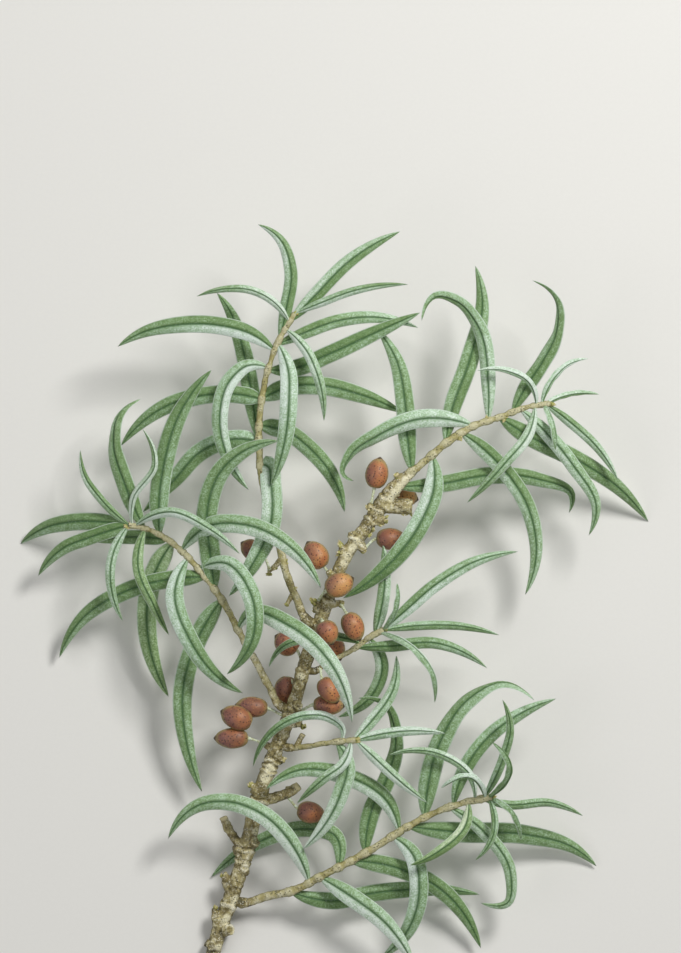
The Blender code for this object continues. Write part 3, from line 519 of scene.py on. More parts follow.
def place(piece, slot, *nodes):
    """Lets a piece ride with the sprig and stand for CAD nodes, whose parts it hides; the slot is not used.
    """
    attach(piece, "root")
    if nodes:
        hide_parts(*nodes)
    return piece


# Leaves


def blade_width(share, width, petiole, swollen_by):
    """The width along the leaf: it swells from the stalk, stays nearly even and ends in a point."""
    rise = np.clip(share / swollen_by, 0, 1)
    fall = np.clip((share - WIDEST_AT) / (1 - WIDEST_AT), 0, 1)
    swell = np.sqrt(1 - (1 - rise) ** 2) ** 1.3
    taper = (1 - fall**2.4) ** 0.8
    return np.maximum(width * swell * taper, petiole * (1 - share) ** 6)


def leaf_path(shape, twig, count):
    """The midrib from the twig's middle to the tip. Its height is a parabola of the share of the length."""
    root = nearest(twig, shape["route"][0])
    route = smooth([root[:2], *shape["route"][1:]], count)
    share = np.linspace(0, 1, count)
    rise, drop = shape["middle"] - root[2], shape["tip"] - root[2]
    height = root[2] + (4 * rise - drop) * share + (2 * drop - 4 * rise) * share**2
    return spots(np.column_stack([route, height])), share


def leaf_tones(tones, share, across):
    """Paleness from 0 to 1, from the silvery scales and the painted light and shade of each half:
    blended from base to tip on each half, with a soft step over the midrib.
    """
    left_base, left_tip, right_base, right_tip = (int(digit) / 9 for digit in tones[:4])
    run = ease(0.2, 0.85, share)[:, None]
    left = left_base + (left_tip - left_base) * run
    right = right_base + (right_tip - right_base) * run
    return left + (right - left) * ease(-0.05, 0.05, across)[None, :]


def leaf_shell(shape, twig, settings, seed):
    """One leaf: a closed strip carried along its midrib.

    Across the top the height is half the arch minus the arch times the squared distance from the
    midrib, less a bell-shaped groove at the midrib itself. The underside lies a thickness lower, with
    a bell-shaped rib. The edge waves by a sine of the length, with a phase from the seed.
    """
    random = np.random.default_rng(seed)
    path, share = leaf_path(shape, twig, LEAF_ROWS + 1)
    _, side, up = frames(path)
    first, last = shape["roll"]
    turn = np.radians(first + (last - first) * share**1.5)[:, None]
    side, up = side * np.cos(turn) + up * np.sin(turn), up * np.cos(turn) - side * np.sin(turn)
    width = shape["width"] * settings.leaf_fullness
    half = blade_width(share, width, settings.petiole_width, shape["swollen_by"]) / 2
    full = np.minimum(2 * half / shape["width"] + 0.25, 1)[:, None]
    top = LEAF_ACROSS
    below = top[-2:0:-1]
    arch = settings.leaf_arch
    surface = arch * (0.5 - top**2) - settings.groove_depth * bump(top, 0.13)
    thick = settings.leaf_thickness * (1 - 0.45 * below**2)
    underside = arch * (0.5 - below**2) - thick - settings.rib_height * bump(below, 0.14)
    across = np.concatenate([top, below])
    height = np.concatenate([surface, underside])[None, :] * full
    waves = random.integers(2, 5)
    phase = random.random() * math.tau
    sway = settings.edge_wave * np.sin(math.tau * waves * share + phase)[:, None]
    height = height + sway * across[None, :] ** 2 * np.sign(across)[None, :] * np.sin(np.pi * share)[:, None]
    rings = (
        path[:, None]
        + side[:, None] * (half[:, None] * across[None, :])[..., None]
        + up[:, None] * height[..., None]
    )[:-1]
    grain = lattice_noise(rings, 1.1 * MM, 5) * 0.04 * MM + lattice_noise(rings, 0.45 * MM, 6) * 0.02 * MM
    rings = rings + up[:-1, None] * grain[..., None]
    ones = np.ones((LEAF_ROWS, len(across)))
    shade = leaf_tones(shape["tones"], share[:-1], across)
    # Painted highlight in the middle of each half, painted shade next to the midrib and the margin
    crown = 0.08 * (bump(np.abs(across) - 0.5, 0.3) - 0.5)[None, :]
    marks = {
        "pale": np.clip(shade + crown, 0, 1),
        "across": across[None, :] * ones,
        "under": np.concatenate([np.zeros(len(top)), np.ones(len(below))])[None, :] * ones,
        "warm": ones * (1.0 if shape["tones"].endswith("w") else 0.0) + ones * random.random() * 0.25,
    }
    return closed_shell(rings, path[0], path[-1], marks)


# Wood


def around(side, up, angle):
    """The directions at these angles round a line: side times the cosine plus up times the sine."""
    return side[..., None, :] * np.cos(angle)[:, None] + up[..., None, :] * np.sin(angle)[:, None]


def round_rings(line, step, sides, rough):
    """Rings of a round tube, its centre line, and each ring point's share of the way along it.

    The radius is half the diameter plus rough, a length that depends on the point and the centre line.
    """
    length = np.linalg.norm(np.diff(spots(smooth(line, 60)), axis=0), axis=1).sum()
    count = max(int(length / step), 4)
    fine = smooth(line, count)
    path = spots(fine)
    _, side, up = frames(path)
    angle = np.linspace(0, math.tau, sides, endpoint=False)
    out = around(side, up, angle)
    radius = fine[:, 3, None] / 2 * PIXEL * np.ones(sides)[None, :]
    rings = path[:, None] + out * radius[..., None]
    rings = rings + out * rough(rings, path)[..., None]
    share = np.linspace(0, 1, count)[:, None] * np.ones(sides)[None, :]
    return rings, path, share


def grown_from(line, parent):
    """The line with one more point in front: the nearest middle of the wood that it grows from."""
    x, y, height, _ = nearest(parent, line[0])
    return [(x, y, height, line[0][3]), *line]


def spur_line(points, parent):
    """A spur's own points, with heights counted from the wood that it grows from."""
    base = nearest(parent, points[0])[2]
    return [(x, y, base + lift, across) for x, y, lift, across in points]


def bud_shell(base, way, long, wide):
    """One bud scale: a pointed egg. Its radius is the sine of the place along it, less at the tip."""
    rows, sides = BUD_GRID
    t = (np.arange(rows) + 1) / (rows + 1)
    radius = np.sin(np.pi * t**0.75) * (1 - 0.35 * t) * wide / 2
    side = np.cross(way, (0.31, 0.17, 0.93))
    side = side / np.linalg.norm(side)
    up = np.cross(side, way)
    angle = np.linspace(0, math.tau, sides, endpoint=False)
    out = side * np.cos(angle)[:, None] + up * np.sin(angle)[:, None] * 0.75
    bend = up * (0.18 * long * t**2)[:, None]
    rings = (base + way * (t * long)[:, None] + bend)[:, None] + out[None] * radius[:, None, None]
    share = t[:, None] * np.ones(sides)[None]
    return closed_shell(rings, base, base + way * long + up * 0.18 * long, {"share": share})


def on_bark(place, lines):
    """The point of the wood or its spurs closest to a pixel, moved from its middle to just under the bark."""
    rows = np.concatenate([smooth(line, FINE_POINTS) for line in lines])
    gap = np.hypot(rows[:, 0] - place[0], rows[:, 1] - place[1]) - rows[:, 3] / 2
    x, y, height, across = rows[gap.argmin()]
    way = np.array(place, float) - (x, y)
    far = max(np.linalg.norm(way), 0.01)
    x, y = np.array([x, y]) + way * min(1, 0.42 * across / far)
    return spot(x, y, height)


def bud_shells(clusters, woods):
    """Scales in clusters: each leans from the cluster's own way by a random amount from a fixed seed."""
    random = np.random.default_rng(41)
    shells = []
    for x, y, lean, count, name in clusters:
        centre = on_bark((x, y), woods[name])
        for _ in range(count):
            way = np.array([lean[0], lean[1], 0.3]) + random.normal(0, 0.5, 3)
            way = way / np.linalg.norm(way)
            base = centre + random.normal(0, 0.3 * MM, 3) - way * 0.5 * MM
            shells.append(bud_shell(base, way, random.uniform(1.3, 2.1) * MM, random.uniform(1.1, 1.6) * MM))
    return shells


def twig_shells(twig, leaves, spurs, settings):
    """A twig with a swelling under each leaf, raised rings beside them, and its spurs.

    Roughness is the sum of a bell for each leaf base along the twig, a raised ring on either side of it, a
    collar at the foot, and low lumps and fine grain from lattice noise, less a share of the radius.
    """
    roots = spots([nearest(twig, shape["route"][0])[:3] for shape in leaves])

    def rough(rings, path):
        far = np.linalg.norm(path[:, None] - roots[None], axis=2)
        swell = (bump(far, 0.9 * MM) * settings.node_swelling).max(axis=1)[:, None]
        ring = (bump(np.abs(far - 0.9 * MM), 0.25 * MM) * 0.16 * MM).max(axis=1)[:, None]
        from_foot = np.linalg.norm(path - spot(*twig[0][:3]), axis=1)[:, None]
        collar = bump(from_foot, 1.6 * MM) * 0.38 * MM + bump(from_foot - 1.5 * MM, 0.3 * MM) * 0.15 * MM
        lumps = lattice_noise(rings, 2.0 * MM, 11) * 0.16 * MM
        lumps = lumps + lattice_noise(rings, 0.8 * MM, 12) * 0.13 * MM
        slim = np.linalg.norm(rings - path[:, None], axis=2) * settings.twig_slimming
        return (swell + ring + collar + lumps) * settings.bark_relief - slim

    line = grown_from(twig, MAIN_STEM)
    rings, path, share = round_rings(line, TWIG_STEP, TWIG_SIDES, rough)
    far = np.linalg.norm(path[:, None] - roots[None], axis=2).min(axis=1)
    at_foot = bump(np.linalg.norm(path - spot(*twig[0][:3]), axis=1), 2.2 * MM)[:, None]
    marks = {
        "young": np.clip(0.25 + share * 0.6 + 0.3 * bump(far, 1.3 * MM)[:, None] - at_foot, 0, 1),
        # down: painted shade, darker on the bark's sides and underside
        "cut": share * 0, "down": painted_shade_below(rings, path),
        # hollow: painted shade in the bark's hollows and painted highlight on what stands out, and darker at
        # the foot, where the twig has a dark collar
        "hollow": np.clip(0.62 - (rough(rings, path) + 0.25 * MM) / (0.6 * MM) + 0.9 * at_foot, 0, 1),
    }
    shells = [closed_shell(rings, path[0], path[-1], marks)]
    for points in spurs:
        rings, path, share = round_rings(spur_line(points, twig), TWIG_STEP, TWIG_SIDES, rough)
        marks = {
            "young": share * 0.2, "cut": ease(0.85, 1, share), "hollow": share * 0 + 0.5,
            # down: painted shade, darker on the spur's sides and underside
            "down": painted_shade_below(rings, path),
        }
        shells.append(closed_shell(rings, path[0], path[-1], marks))
    return shells


def painted_shade_below(rings, path):
    """From 0 on top to 1 on the sides and below, for the bark's painted shade: a soft step on the height
    of each point's way out.
    """
    out = rings - path[:, None]
    return 1 - ease(0.05, 0.8, out[..., 2] / np.linalg.norm(out, axis=2))


def remeshed(name, shells, voxel):
    """The shells as one skin without inner walls: Blender's voxel remesh, taken back as a mesh."""
    raw = mesh_object(name + "_raw", shells, [])
    remesh = raw.modifiers.new("skin", "REMESH")
    remesh.mode = "VOXEL"
    remesh.voxel_size = voxel
    graph = bpy.context.evaluated_depsgraph_get()
    mesh = bpy.data.meshes.new_from_object(raw.evaluated_get(graph))
    rough = raw.data
    bpy.data.objects.remove(raw)
    bpy.data.meshes.remove(rough)
    return mesh


def closest_row(points, line):
    """The index of the line's nearest point, from squared distances worked out as one product."""
    square = (points**2).sum(axis=1)[:, None] - 2 * points @ line.T + (line**2).sum(axis=1)[None]
    return square.argmin(axis=1)


def old_wood_mesh(settings):
    """The old stem and its spurs as one skin, then pushed out along its normals by the bark's relief.

    Relief is the sum of rings round the stem at chosen heights, wrinkles from noise squeezed along the
    stem, ridges from noise stretched along it, lumps, and bud scars: a raised ring round a hollow.
    """
    lines = [MAIN_STEM + STEM_RUN_OUT]
    lines += [
        [(*place, across * settings.spur_fullness) for *place, across in spur_line(points, MAIN_STEM)]
        for points in MAIN_SPURS + KNOBS
    ]
    shells = []
    for line in lines:
        rings, path, share = round_rings(line, STEM_STEP, STEM_SIDES, lambda rings, _: rings[..., 0] * 0)
        shells.append(closed_shell(rings, path[0], path[-1], {"young": share}))
    mesh = remeshed("old_wood", shells, settings.stem_voxel)
    count = len(mesh.vertices)
    points = np.empty(count * 3, np.float32)
    mesh.vertices.foreach_get("co", points)
    points = points.reshape(-1, 3).astype(float)
    normals = np.empty(count * 3, np.float32)
    mesh.vertices.foreach_get("normal", normals)
    normals = normals.reshape(-1, 3).astype(float)
    stem = smooth(MAIN_STEM, FINE_POINTS)
    middle = spots(stem)
    along, side, up = frames(middle)
    row = closest_row(points, middle)
    offset = points - middle[row]
    height_on = (offset * along[row]).sum(axis=1)
    lengths = np.concatenate([[0], np.cumsum(np.linalg.norm(np.diff(middle, axis=0), axis=1))])
    travel = lengths[row] + height_on
    far = np.linalg.norm(offset - height_on[:, None] * along[row], axis=1)
    on_stem = 1 - ease(1.3, 1.7, far / (stem[row, 3] / 2 * PIXEL))
    turned = np.stack([travel, (offset * side[row]).sum(axis=1), (offset * up[row]).sum(axis=1)], 1)
    rugged = 0.45 + 0.55 * ease(-0.25, 0.35, lattice_noise(points, 9 * MM, 26))
    wrinkles = lattice_noise(turned / (0.45, 2.2, 2.2), MM, 21) * 0.13 * MM * rugged
    ridges = lattice_noise(turned / (3.5, 0.6, 0.6), MM, 22) * 0.1 * MM
    lumps = lattice_noise(points, 2.2 * MM, 23) * 0.18 * MM
    lumps = lumps + lattice_noise(points, 0.9 * MM, 24) * 0.14 * MM * rugged
    grain = lattice_noise(points, 0.42 * MM, 25) * 0.06 * MM
    relief = wrinkles + ridges + lumps + grain
    for y, half, rise in STEM_RINGS:
        at = np.interp(-y, -stem[:, 1], lengths)
        sway = 0.3 * MM * np.sin(3 * np.arctan2(turned[:, 2], turned[:, 1]) + y)
        away = travel - at + sway
        relief += on_stem * (bump(away, half * MM) * rise - bump(away - 0.9 * MM, 0.3 * MM) * 0.22) * MM
    for x, y, radius in BUD_SCARS:
        centre = spot(x, y, 0)[:2]
        away = np.hypot(*(points[:, :2] - centre).T)
        facing = ease(0.1, 0.5, normals[:, 2])
        scar = (
            bump(away - radius * 0.8 * MM, 0.32 * MM) * 0.45 + bump(away, 0.35 * MM) * 0.2
            - bump(away - (radius + 0.55) * MM, 0.3 * MM) * 0.25
        ) * MM
        relief += facing * scar * min(radius / 1.5, 1) * (0.65 + 0.5 * lattice_noise(points, 0.8 * MM, 27))
    cut = np.zeros(count)
    for x, y, radius in CUT_ENDS:
        away = np.hypot(*(points[:, :2] - spot(x, y, 0)[:2]).T)
        cut = np.maximum(cut, 1 - ease(0.7, 1.15, away / (radius * MM)))
    # Bare, smoothed wood that is also painted pale as a highlight
    bare_and_highlit = np.zeros(count)
    for x, y, radius in BARE_WOOD_HIGHLIGHTS:
        away = np.linalg.norm((points[:, :2] - spot(x, y, 0)[:2]), axis=1)
        bare_and_highlit = np.maximum(bare_and_highlit, bump(away, radius * MM))
    relief *= (1 - 0.75 * cut) * (1 - 0.5 * bare_and_highlit) * settings.bark_relief
    points = points + normals * relief[:, None]
    mesh.vertices.foreach_set("co", points.astype(np.float32).reshape(-1))
    mesh.update()
    # Painted shade in the hollows of the relief and painted highlight on what stands out
    hollow = np.clip(0.5 - relief / (1.1 * MM), 0, 1)
    # Painted shade: darker on the sides and underside of the old wood
    down = 1 - ease(0.05, 0.8, normals[:, 2])
    return mesh, {"young": np.zeros(count), "cut": cut, "hollow": hollow, "bare_and_highlit": bare_and_highlit, "down": down}


# Berries


def berry_shell(shape, settings, seed):
    """One berry as rings round its axis, from the stalk's dimple to the dried tip.

    The radius is the root of one minus the squared place along the axis, a little fuller towards the
    stalk. The stalk's end is drawn in by a bell, and the far end stands out in a small nib.
    """
    random = np.random.default_rng(seed)
    centre = spot(*shape["centre"])
    x, y = shape["apex"]
    axis = spot(x, y, shape["centre"][2]) - centre
    axis = axis / np.linalg.norm(axis)
    side = np.cross(axis, (0, 0, 1))
    up = np.cross(side, axis)
    rows, sides = BERRY_GRID
    polar = np.linspace(0, np.pi, rows + 2)[1:-1]
    place_on = -np.cos(polar)
    radius = np.sin(polar) * (1 - 0.07 * place_on) * shape["wide"] / 2
    ahead = place_on * shape["long"] / 2 + bump(polar, 0.22) * 0.5 * MM
    nib = bump(np.pi - polar, 0.16)
    ahead = ahead + nib * settings.nib_length
    radius = radius + bump(np.pi - polar - 0.2, 0.07) * 0.16 * MM
    angle = np.linspace(0, math.tau, sides, endpoint=False)
    out = around(side, up, angle)
    rings = centre + axis * ahead[:, None, None] + out[None] * radius[:, None, None]
    dents = lattice_noise(rings, 2.6 * MM, seed) * 0.12 * MM
    dents = dents + lattice_noise(rings, 0.8 * MM, seed + 1) * 0.03 * MM
    rings = rings + out[None] * (dents * np.sin(polar)[:, None])[..., None]
    facing = (rings - centre) / np.linalg.norm(rings - centre, axis=2)[..., None]
    ones = np.ones((rows, sides))
    marks = {
        "ripe": ones * shape["ripe"],
        # Painted shade: purple on the side of the berry that faces left
        "berry_painted_shade": ease(-0.1, 0.85, facing @ np.array([-0.85, 0.6 - 1.2 * random.random(), 0.2])),
        "rim": 1 - np.clip(facing[..., 2], 0, 1),
        "tip": (bump(np.pi - polar, 0.3) + bump(polar, 0.16) * 0.5)[:, None] * ones,
    }
    start = centre - axis * (shape["long"] / 2 - 0.45 * MM)
    end = centre + axis * (shape["long"] / 2 + settings.nib_length)
    return closed_shell(rings, start, end, marks), start, axis


def stalk_shell(start, axis, foot, settings):
    """A berry's stalk: a curve from inside the berry to inside the bark, thicker at both ends.

    The path is a cubic with the berry's axis as its first slope and the straight way as its last.
    """
    t = np.linspace(0, 1, 22)[:, None]
    begin = start + axis * 0.8 * MM
    reach = np.linalg.norm(foot - begin)
    lean = -axis * reach * 0.9
    close = (foot - begin) * 1.1
    path = (
        (1 + 2 * t) * (1 - t) ** 2 * begin
        + t * (1 - t) ** 2 * lean
        + t**2 * (3 - 2 * t) * foot
        + t**2 * (t - 1) * close
    )
    _, side, up = frames(path)
    angle = np.linspace(0, math.tau, STALK_SIDES, endpoint=False)
    out = around(side, up, angle)
    thick = settings.stalk_radius * (1 + 0.5 * bump(t - 0.12, 0.12) + 0.7 * bump(t - 1, 0.18))
    thick = thick + lattice_noise(path, 0.7 * MM, 31)[:, None] * 0.05 * MM
    rings = path[:, None] + out * thick[..., None]
    zero = np.zeros(rings.shape[:2])
    return closed_shell(rings, path[0], path[-1], {"ripe": zero, "berry_painted_shade": zero, "rim": zero, "tip": zero}, 1)


# Materials


def srgb(code):
    """A colour from its six hexadecimal digits, as linear red, green, blue and alpha."""
    parts = [int(code[i:i + 2], 16) / 255 for i in (0, 2, 4)]
    return (*[p / 12.92 if p <= 0.04045 else ((p + 0.055) / 1.055) ** 2.4 for p in parts], 1.0)


class Tree:
    """Short words for filling a node tree."""

    def __init__(self, tree):
        self.tree = tree

    def add(self, kind, inputs=None, **settings):
        node = self.tree.nodes.new(kind)
        for key, value in settings.items():
            setattr(node, key, value)
        for key, value in (inputs or {}).items():
            if isinstance(value, bpy.types.NodeSocket):
                self.tree.links.new(value, node.inputs[key])
            else:
                node.inputs[key].default_value = value
        return node

    def math(self, operation, first, second=0.0):
        return self.add("ShaderNodeMath", {0: first, 1: second}, operation=operation).outputs[0]

    def plus(self, first, second):
        return self.math("ADD", first, second)

    def minus(self, first, second):
        return self.math("SUBTRACT", first, second)

    def times(self, first, second):
        return self.math("MULTIPLY", first, second)

    def mix(self, factor, first, second, blend="MIX"):
        inputs = {0: factor, 6: first, 7: second}
        return self.add("ShaderNodeMix", inputs, data_type="RGBA", blend_type=blend).outputs[2]

    def stain(self, colour, mask, amount, other, blend="MIX"):
        return self.mix(self.times(mask, amount), colour, other, blend)

    def noise(self, vector, scale, detail=2.0, rough=0.5):
        inputs = {"Vector": vector, "Scale": scale, "Detail": detail, "Roughness": rough}
        return self.add("ShaderNodeTexNoise", inputs).outputs["Fac"]

    def cells(self, vector, scale, feature="F1"):
        inputs = {"Vector": vector, "Scale": scale}
        return self.add("ShaderNodeTexVoronoi", inputs, feature=feature).outputs["Distance"]

    def span(self, value, low, high, start=0.0, end=1.0, kind="SMOOTHSTEP"):
        inputs = {"Value": value, "From Min": low, "From Max": high, "To Min": start, "To Max": end}
        return self.add("ShaderNodeMapRange", inputs, interpolation_type=kind).outputs["Result"]

    def vary(self, value, start, end, low=0.3, high=0.7):
        return self.span(value, low, high, start, end, "LINEAR")

    def ramp(self, value, stops):
        node = self.add("ShaderNodeValToRGB", {"Fac": value})
        elements = node.color_ramp.elements
        while len(elements) < len(stops):
            elements.new(0.5)
        for element, (at, colour) in zip(elements, stops):
            element.position = at
            element.color = colour
        return node.outputs["Color"]

    def read(self, name):
        return self.add("ShaderNodeAttribute", attribute_name=name).outputs["Fac"]

    def stretched(self, vector, scale):
        inputs = {"Vector": vector, "Scale": scale}
        return self.add("ShaderNodeMapping", inputs).outputs["Vector"]


def speckle_group():
    """Small spots over a surface: the nearest cell's distance, cut off at a size, thinned out by noise."""
    group = bpy.data.node_groups.new("Fine speckle", "ShaderNodeTree")
    face = group.interface
    face.new_socket("Vector", in_out="INPUT", socket_type="NodeSocketVector")
    for name, value in (("Cells per metre", 2500.0), ("Spot size", 0.3), ("Amount", 0.6)):
        face.new_socket(name, in_out="INPUT", socket_type="NodeSocketFloat").default_value = value
    face.new_socket("Mask", in_out="OUTPUT", socket_type="NodeSocketFloat")
    tree = Tree(group)
    given = tree.add("NodeGroupInput").outputs
    near = tree.cells(given["Vector"], given["Cells per metre"])
    inner = tree.times(given["Spot size"], 0.55)
    dots = tree.span(near, given["Spot size"], inner)
    patches = tree.noise(given["Vector"], tree.times(given["Cells per metre"], 0.31))
    kept = tree.span(patches, 0.42, 0.6)
    mask = tree.times(tree.times(dots, kept), given["Amount"])
    tree.add("NodeGroupOutput", {"Mask": mask})
    return group


def new_material(name):
    material = bpy.data.materials.new(name)
    material.use_nodes = True
    tree = Tree(material.node_tree)
    where = tree.add("ShaderNodeTexCoord").outputs["Object"]
    return material, tree, material.node_tree.nodes["Principled BSDF"], where


def speckle(tree, group, where, cells, size, amount):
    inputs = {"Vector": where, "Cells per metre": cells, "Spot size": size, "Amount": amount}
    return tree.add("ShaderNodeGroup", inputs, node_tree=group).outputs["Mask"]


def finish_surface(tree, shader, colour, roughness, height, distance, strength):
    bumped = tree.add("ShaderNodeBump", {"Height": height, "Distance": distance, "Strength": strength})
    tree.tree.links.new(colour, shader.inputs["Base Color"])
    tree.tree.links.new(roughness, shader.inputs["Roughness"])
    tree.tree.links.new(bumped.outputs["Normal"], shader.inputs["Normal"])


def leaf_material(settings, group):
    """Grey-green leaf: paler where its marks say, a dark midrib, pale margins, scales."""
    material, tree, shader, where = new_material("leaf_surface")
    across = tree.math("ABSOLUTE", tree.read("across"))
    under = tree.read("under")
    clouds = tree.noise(where, 420.0, 3.0, 0.6)
    grain = tree.noise(where, 2400.0, 2.0, 0.7)
    # The pale mark holds the silvery scales and the painted light and shade of each half; the ramp's top end
    # is silver scales and painted highlight
    tone = tree.plus(tree.read("pale"), tree.vary(clouds, -0.09, 0.09))
    tone = tree.plus(tone, tree.vary(grain, -0.26, 0.24))
    colour = tree.ramp(tone, [
        (0.0, settings.leaf_dark), (0.42, settings.leaf_green), (0.7, settings.leaf_scaly_and_lit),
        (1.0, settings.leaf_silver),
    ])
    colour = tree.stain(colour, tree.read("warm"), 0.4, settings.leaf_warm, "MULTIPLY")
    shadow = tree.span(across, 0.4, 0.06)
    colour = tree.stain(colour, shadow, 0.52, settings.leaf_dark)
    line = tree.span(across, 0.15, 0.04)
    colour = tree.stain(colour, line, 0.85, settings.midrib)
    margin = tree.span(across, 0.86, 0.97)
    colour = tree.stain(colour, margin, 0.55, settings.leaf_silver)
    dark_spots = speckle(tree, group, where, 2600.0, 0.34, 0.6)
    colour = tree.mix(dark_spots, colour, settings.leaf_dark)
    pale_spots = speckle(tree, group, tree.stretched(where, (1.13, 0.91, 1.0)), 3400.0, 0.3, 0.45)
    colour = tree.mix(pale_spots, colour, settings.leaf_silver)
    colour = tree.stain(colour, under, 0.7, settings.leaf_silver)
    roughness = tree.vary(grain, 0.5, 0.68)
    height = tree.plus(tree.times(grain, 0.6), tree.times(pale_spots, 0.7))
    finish_surface(tree, shader, colour, roughness, height, 0.08 * MM, 0.5)
    shader.inputs["Specular IOR Level"].default_value = 0.35
    shader.inputs["Sheen Weight"].default_value = 0.12
    return material


def bark_material(settings, group):
    """Bark: ochre and olive patches, pale scurf, dark cracks, pale ends, green tips, with painted shade in
    its hollows, painted highlight on what stands out, and painted shade on its sides and underside.
    """
    material, tree, shader, where = new_material("bark_surface")
    patches = tree.noise(where, 260.0, 4.0, 0.6)
    grain = tree.noise(where, 1500.0, 4.0, 0.7)
    cracks = tree.cells(where, 900.0, "DISTANCE_TO_EDGE")
    hollow = tree.read("hollow")
    young = tree.read("young")
    fine = tree.noise(where, 3600.0, 3.0, 0.7)
    tone = tree.plus(tree.times(patches, 0.35), tree.times(grain, 0.35))
    tone = tree.plus(tone, tree.times(fine, 0.4))
    # Painted shade in the hollows and painted highlight on what stands out, from the hollow mark
    tone = tree.minus(tone, tree.times(tree.minus(hollow, 0.5), 0.75))
    tone = tree.minus(tone, tree.times(young, 0.06))
    colour = tree.ramp(tone, [
        (0.28, settings.bark_dark), (0.47, settings.bark_middle), (0.65, settings.bark_ochre),
        (0.89, settings.bark_pale),
    ])
    crack = tree.times(tree.span(cracks, 0.09, 0.01), tree.span(grain, 0.45, 0.6))
    colour = tree.stain(colour, crack, 0.6, settings.bark_dark)
    colour = tree.stain(colour, tree.span(young, 0.05, 0.6), 0.64, settings.young_bark)
    # Bare wood and painted highlight: cream where the mark says
    bare_and_highlit = tree.times(tree.span(tree.read("bare_and_highlit"), 0.15, 0.7), tree.span(grain, 0.35, 0.55, 0.4, 0.95))
    colour = tree.mix(bare_and_highlit, colour, settings.bare_wood_highlight)
    blotches = tree.span(tree.noise(where, 620.0, 4.0, 0.75), 0.53, 0.62)
    old = tree.span(young, 0.6, 0.05, 0.5, 1.0)
    colour = tree.mix(tree.times(tree.times(blotches, 0.4), old), colour, settings.bark_pale)
    scurf = tree.times(speckle(tree, group, where, 1700.0, 0.4, 0.85), old)
    colour = tree.mix(scurf, colour, settings.bark_pale)
    pits = speckle(tree, group, tree.stretched(where, (0.8, 1.21, 1.0)), 1500.0, 0.42, 0.9)
    colour = tree.mix(pits, colour, settings.bark_dark)
    colour = tree.mix(tree.read("cut"), colour, settings.cut_wood)
    # Painted shade: the sides and underside of the wood are darkened
    colour = tree.stain(colour, tree.read("down"), 0.8, settings.painted_bark_shade, "MULTIPLY")
    roughness = tree.vary(grain, 0.4, 0.62)
    height = tree.minus(tree.plus(grain, tree.times(scurf, 0.5)),
                        tree.times(crack, 0.7))
    finish_surface(tree, shader, colour, roughness, height, 0.25 * MM, 0.7)
    shader.inputs["Specular IOR Level"].default_value = 0.5
    return material


def berry_material(settings, group):
    """Ripe skin: orange-brown in the middle, purple painted shade on one side, olive at the rim, with small
    dark dots.
    """
    material, tree, shader, where = new_material("berry_skin")
    clouds = tree.noise(where, 330.0, 3.0, 0.55)
    grain = tree.noise(where, 2600.0, 2.0, 0.6)
    tone = tree.plus(tree.read("ripe"), tree.vary(clouds, -0.22, 0.22))
    colour = tree.ramp(tone, [
        (0.1, settings.berry_dull), (0.5, settings.berry_orange), (0.9, settings.berry_ochre),
    ])
    # Painted shade: purple over the side that faces left, broken up by noise
    berry_painted_shade = tree.times(tree.read("berry_painted_shade"), tree.vary(clouds, 0.65, 1.0, 0.35, 0.75))
    colour = tree.stain(colour, berry_painted_shade, 0.9, settings.painted_shade_purple)
    rim = tree.span(tree.plus(tree.read("rim"), tree.vary(clouds, -0.12, 0.12)), 0.4, 0.8)
    colour = tree.stain(colour, rim, 0.8, settings.berry_olive)
    colour = tree.mix(tree.span(grain, 0.35, 0.7, 0.0, 0.35), colour, settings.berry_dull)
    freckles = speckle(tree, group, where, 2400.0, 0.36, 0.6)
    colour = tree.mix(freckles, colour, settings.berry_ochre)
    near = tree.cells(where, 1150.0)
    dots = tree.span(near, 0.3, 0.2)
    colour = tree.stain(colour, dots, 0.85, settings.berry_dot)
    tip = tree.span(tree.read("tip"), 0.2, 0.6)
    colour = tree.stain(colour, tip, 0.85, settings.berry_dot)
    roughness = tree.vary(grain, 0.42, 0.6)
    height = tree.minus(tree.times(grain, 0.5), tree.times(dots, 0.6))
    finish_surface(tree, shader, colour, roughness, height, 0.1 * MM, 0.45)
    shader.inputs["Subsurface Weight"].default_value = 0.08
    shader.inputs["Subsurface Radius"].default_value = (1.2 * MM, 0.5 * MM, 0.3 * MM)
    shader.inputs["Subsurface Scale"].default_value = 1.0
    return material


def bud_material(settings, group):
    """Bud scales: yellow-green, olive at the base, pale at the tip, with brown flecks."""
    material, tree, shader, where = new_material("bud_scale")
    grain = tree.noise(where, 1700.0, 3.0, 0.6)
    tone = tree.plus(tree.times(tree.read("share"), 0.7), tree.vary(grain, -0.1, 0.4))
    colour = tree.ramp(tone, [
        (0.1, settings.bark_dark), (0.4, settings.bud_green), (0.7, settings.bark_ochre),
        (0.95, settings.bark_pale),
    ])
    flecks = speckle(tree, group, where, 2300.0, 0.36, 0.6)
    colour = tree.mix(flecks, colour, settings.bark_fleck)
    roughness = tree.vary(grain, 0.5, 0.7)
    finish_surface(tree, shader, colour, roughness, grain, 0.1 * MM, 0.5)
    return material


def stalk_material(settings, group):
    """Berry stalk: pale grey-green with brown scurf."""
    material, tree, shader, where = new_material("berry_stalk")
    grain = tree.noise(where, 1800.0, 3.0, 0.6)
    colour = tree.ramp(grain, [
        (0.3, settings.bark_middle), (0.46, settings.stalk_green), (0.7, settings.leaf_silver),
    ])
    scurf = speckle(tree, group, where, 2100.0, 0.36, 0.6)
    colour = tree.mix(scurf, colour, settings.bark_dark)
    roughness = tree.vary(grain, 0.5, 0.7)
    finish_surface(tree, shader, colour, roughness, grain, 0.1 * MM, 0.5)
    return material


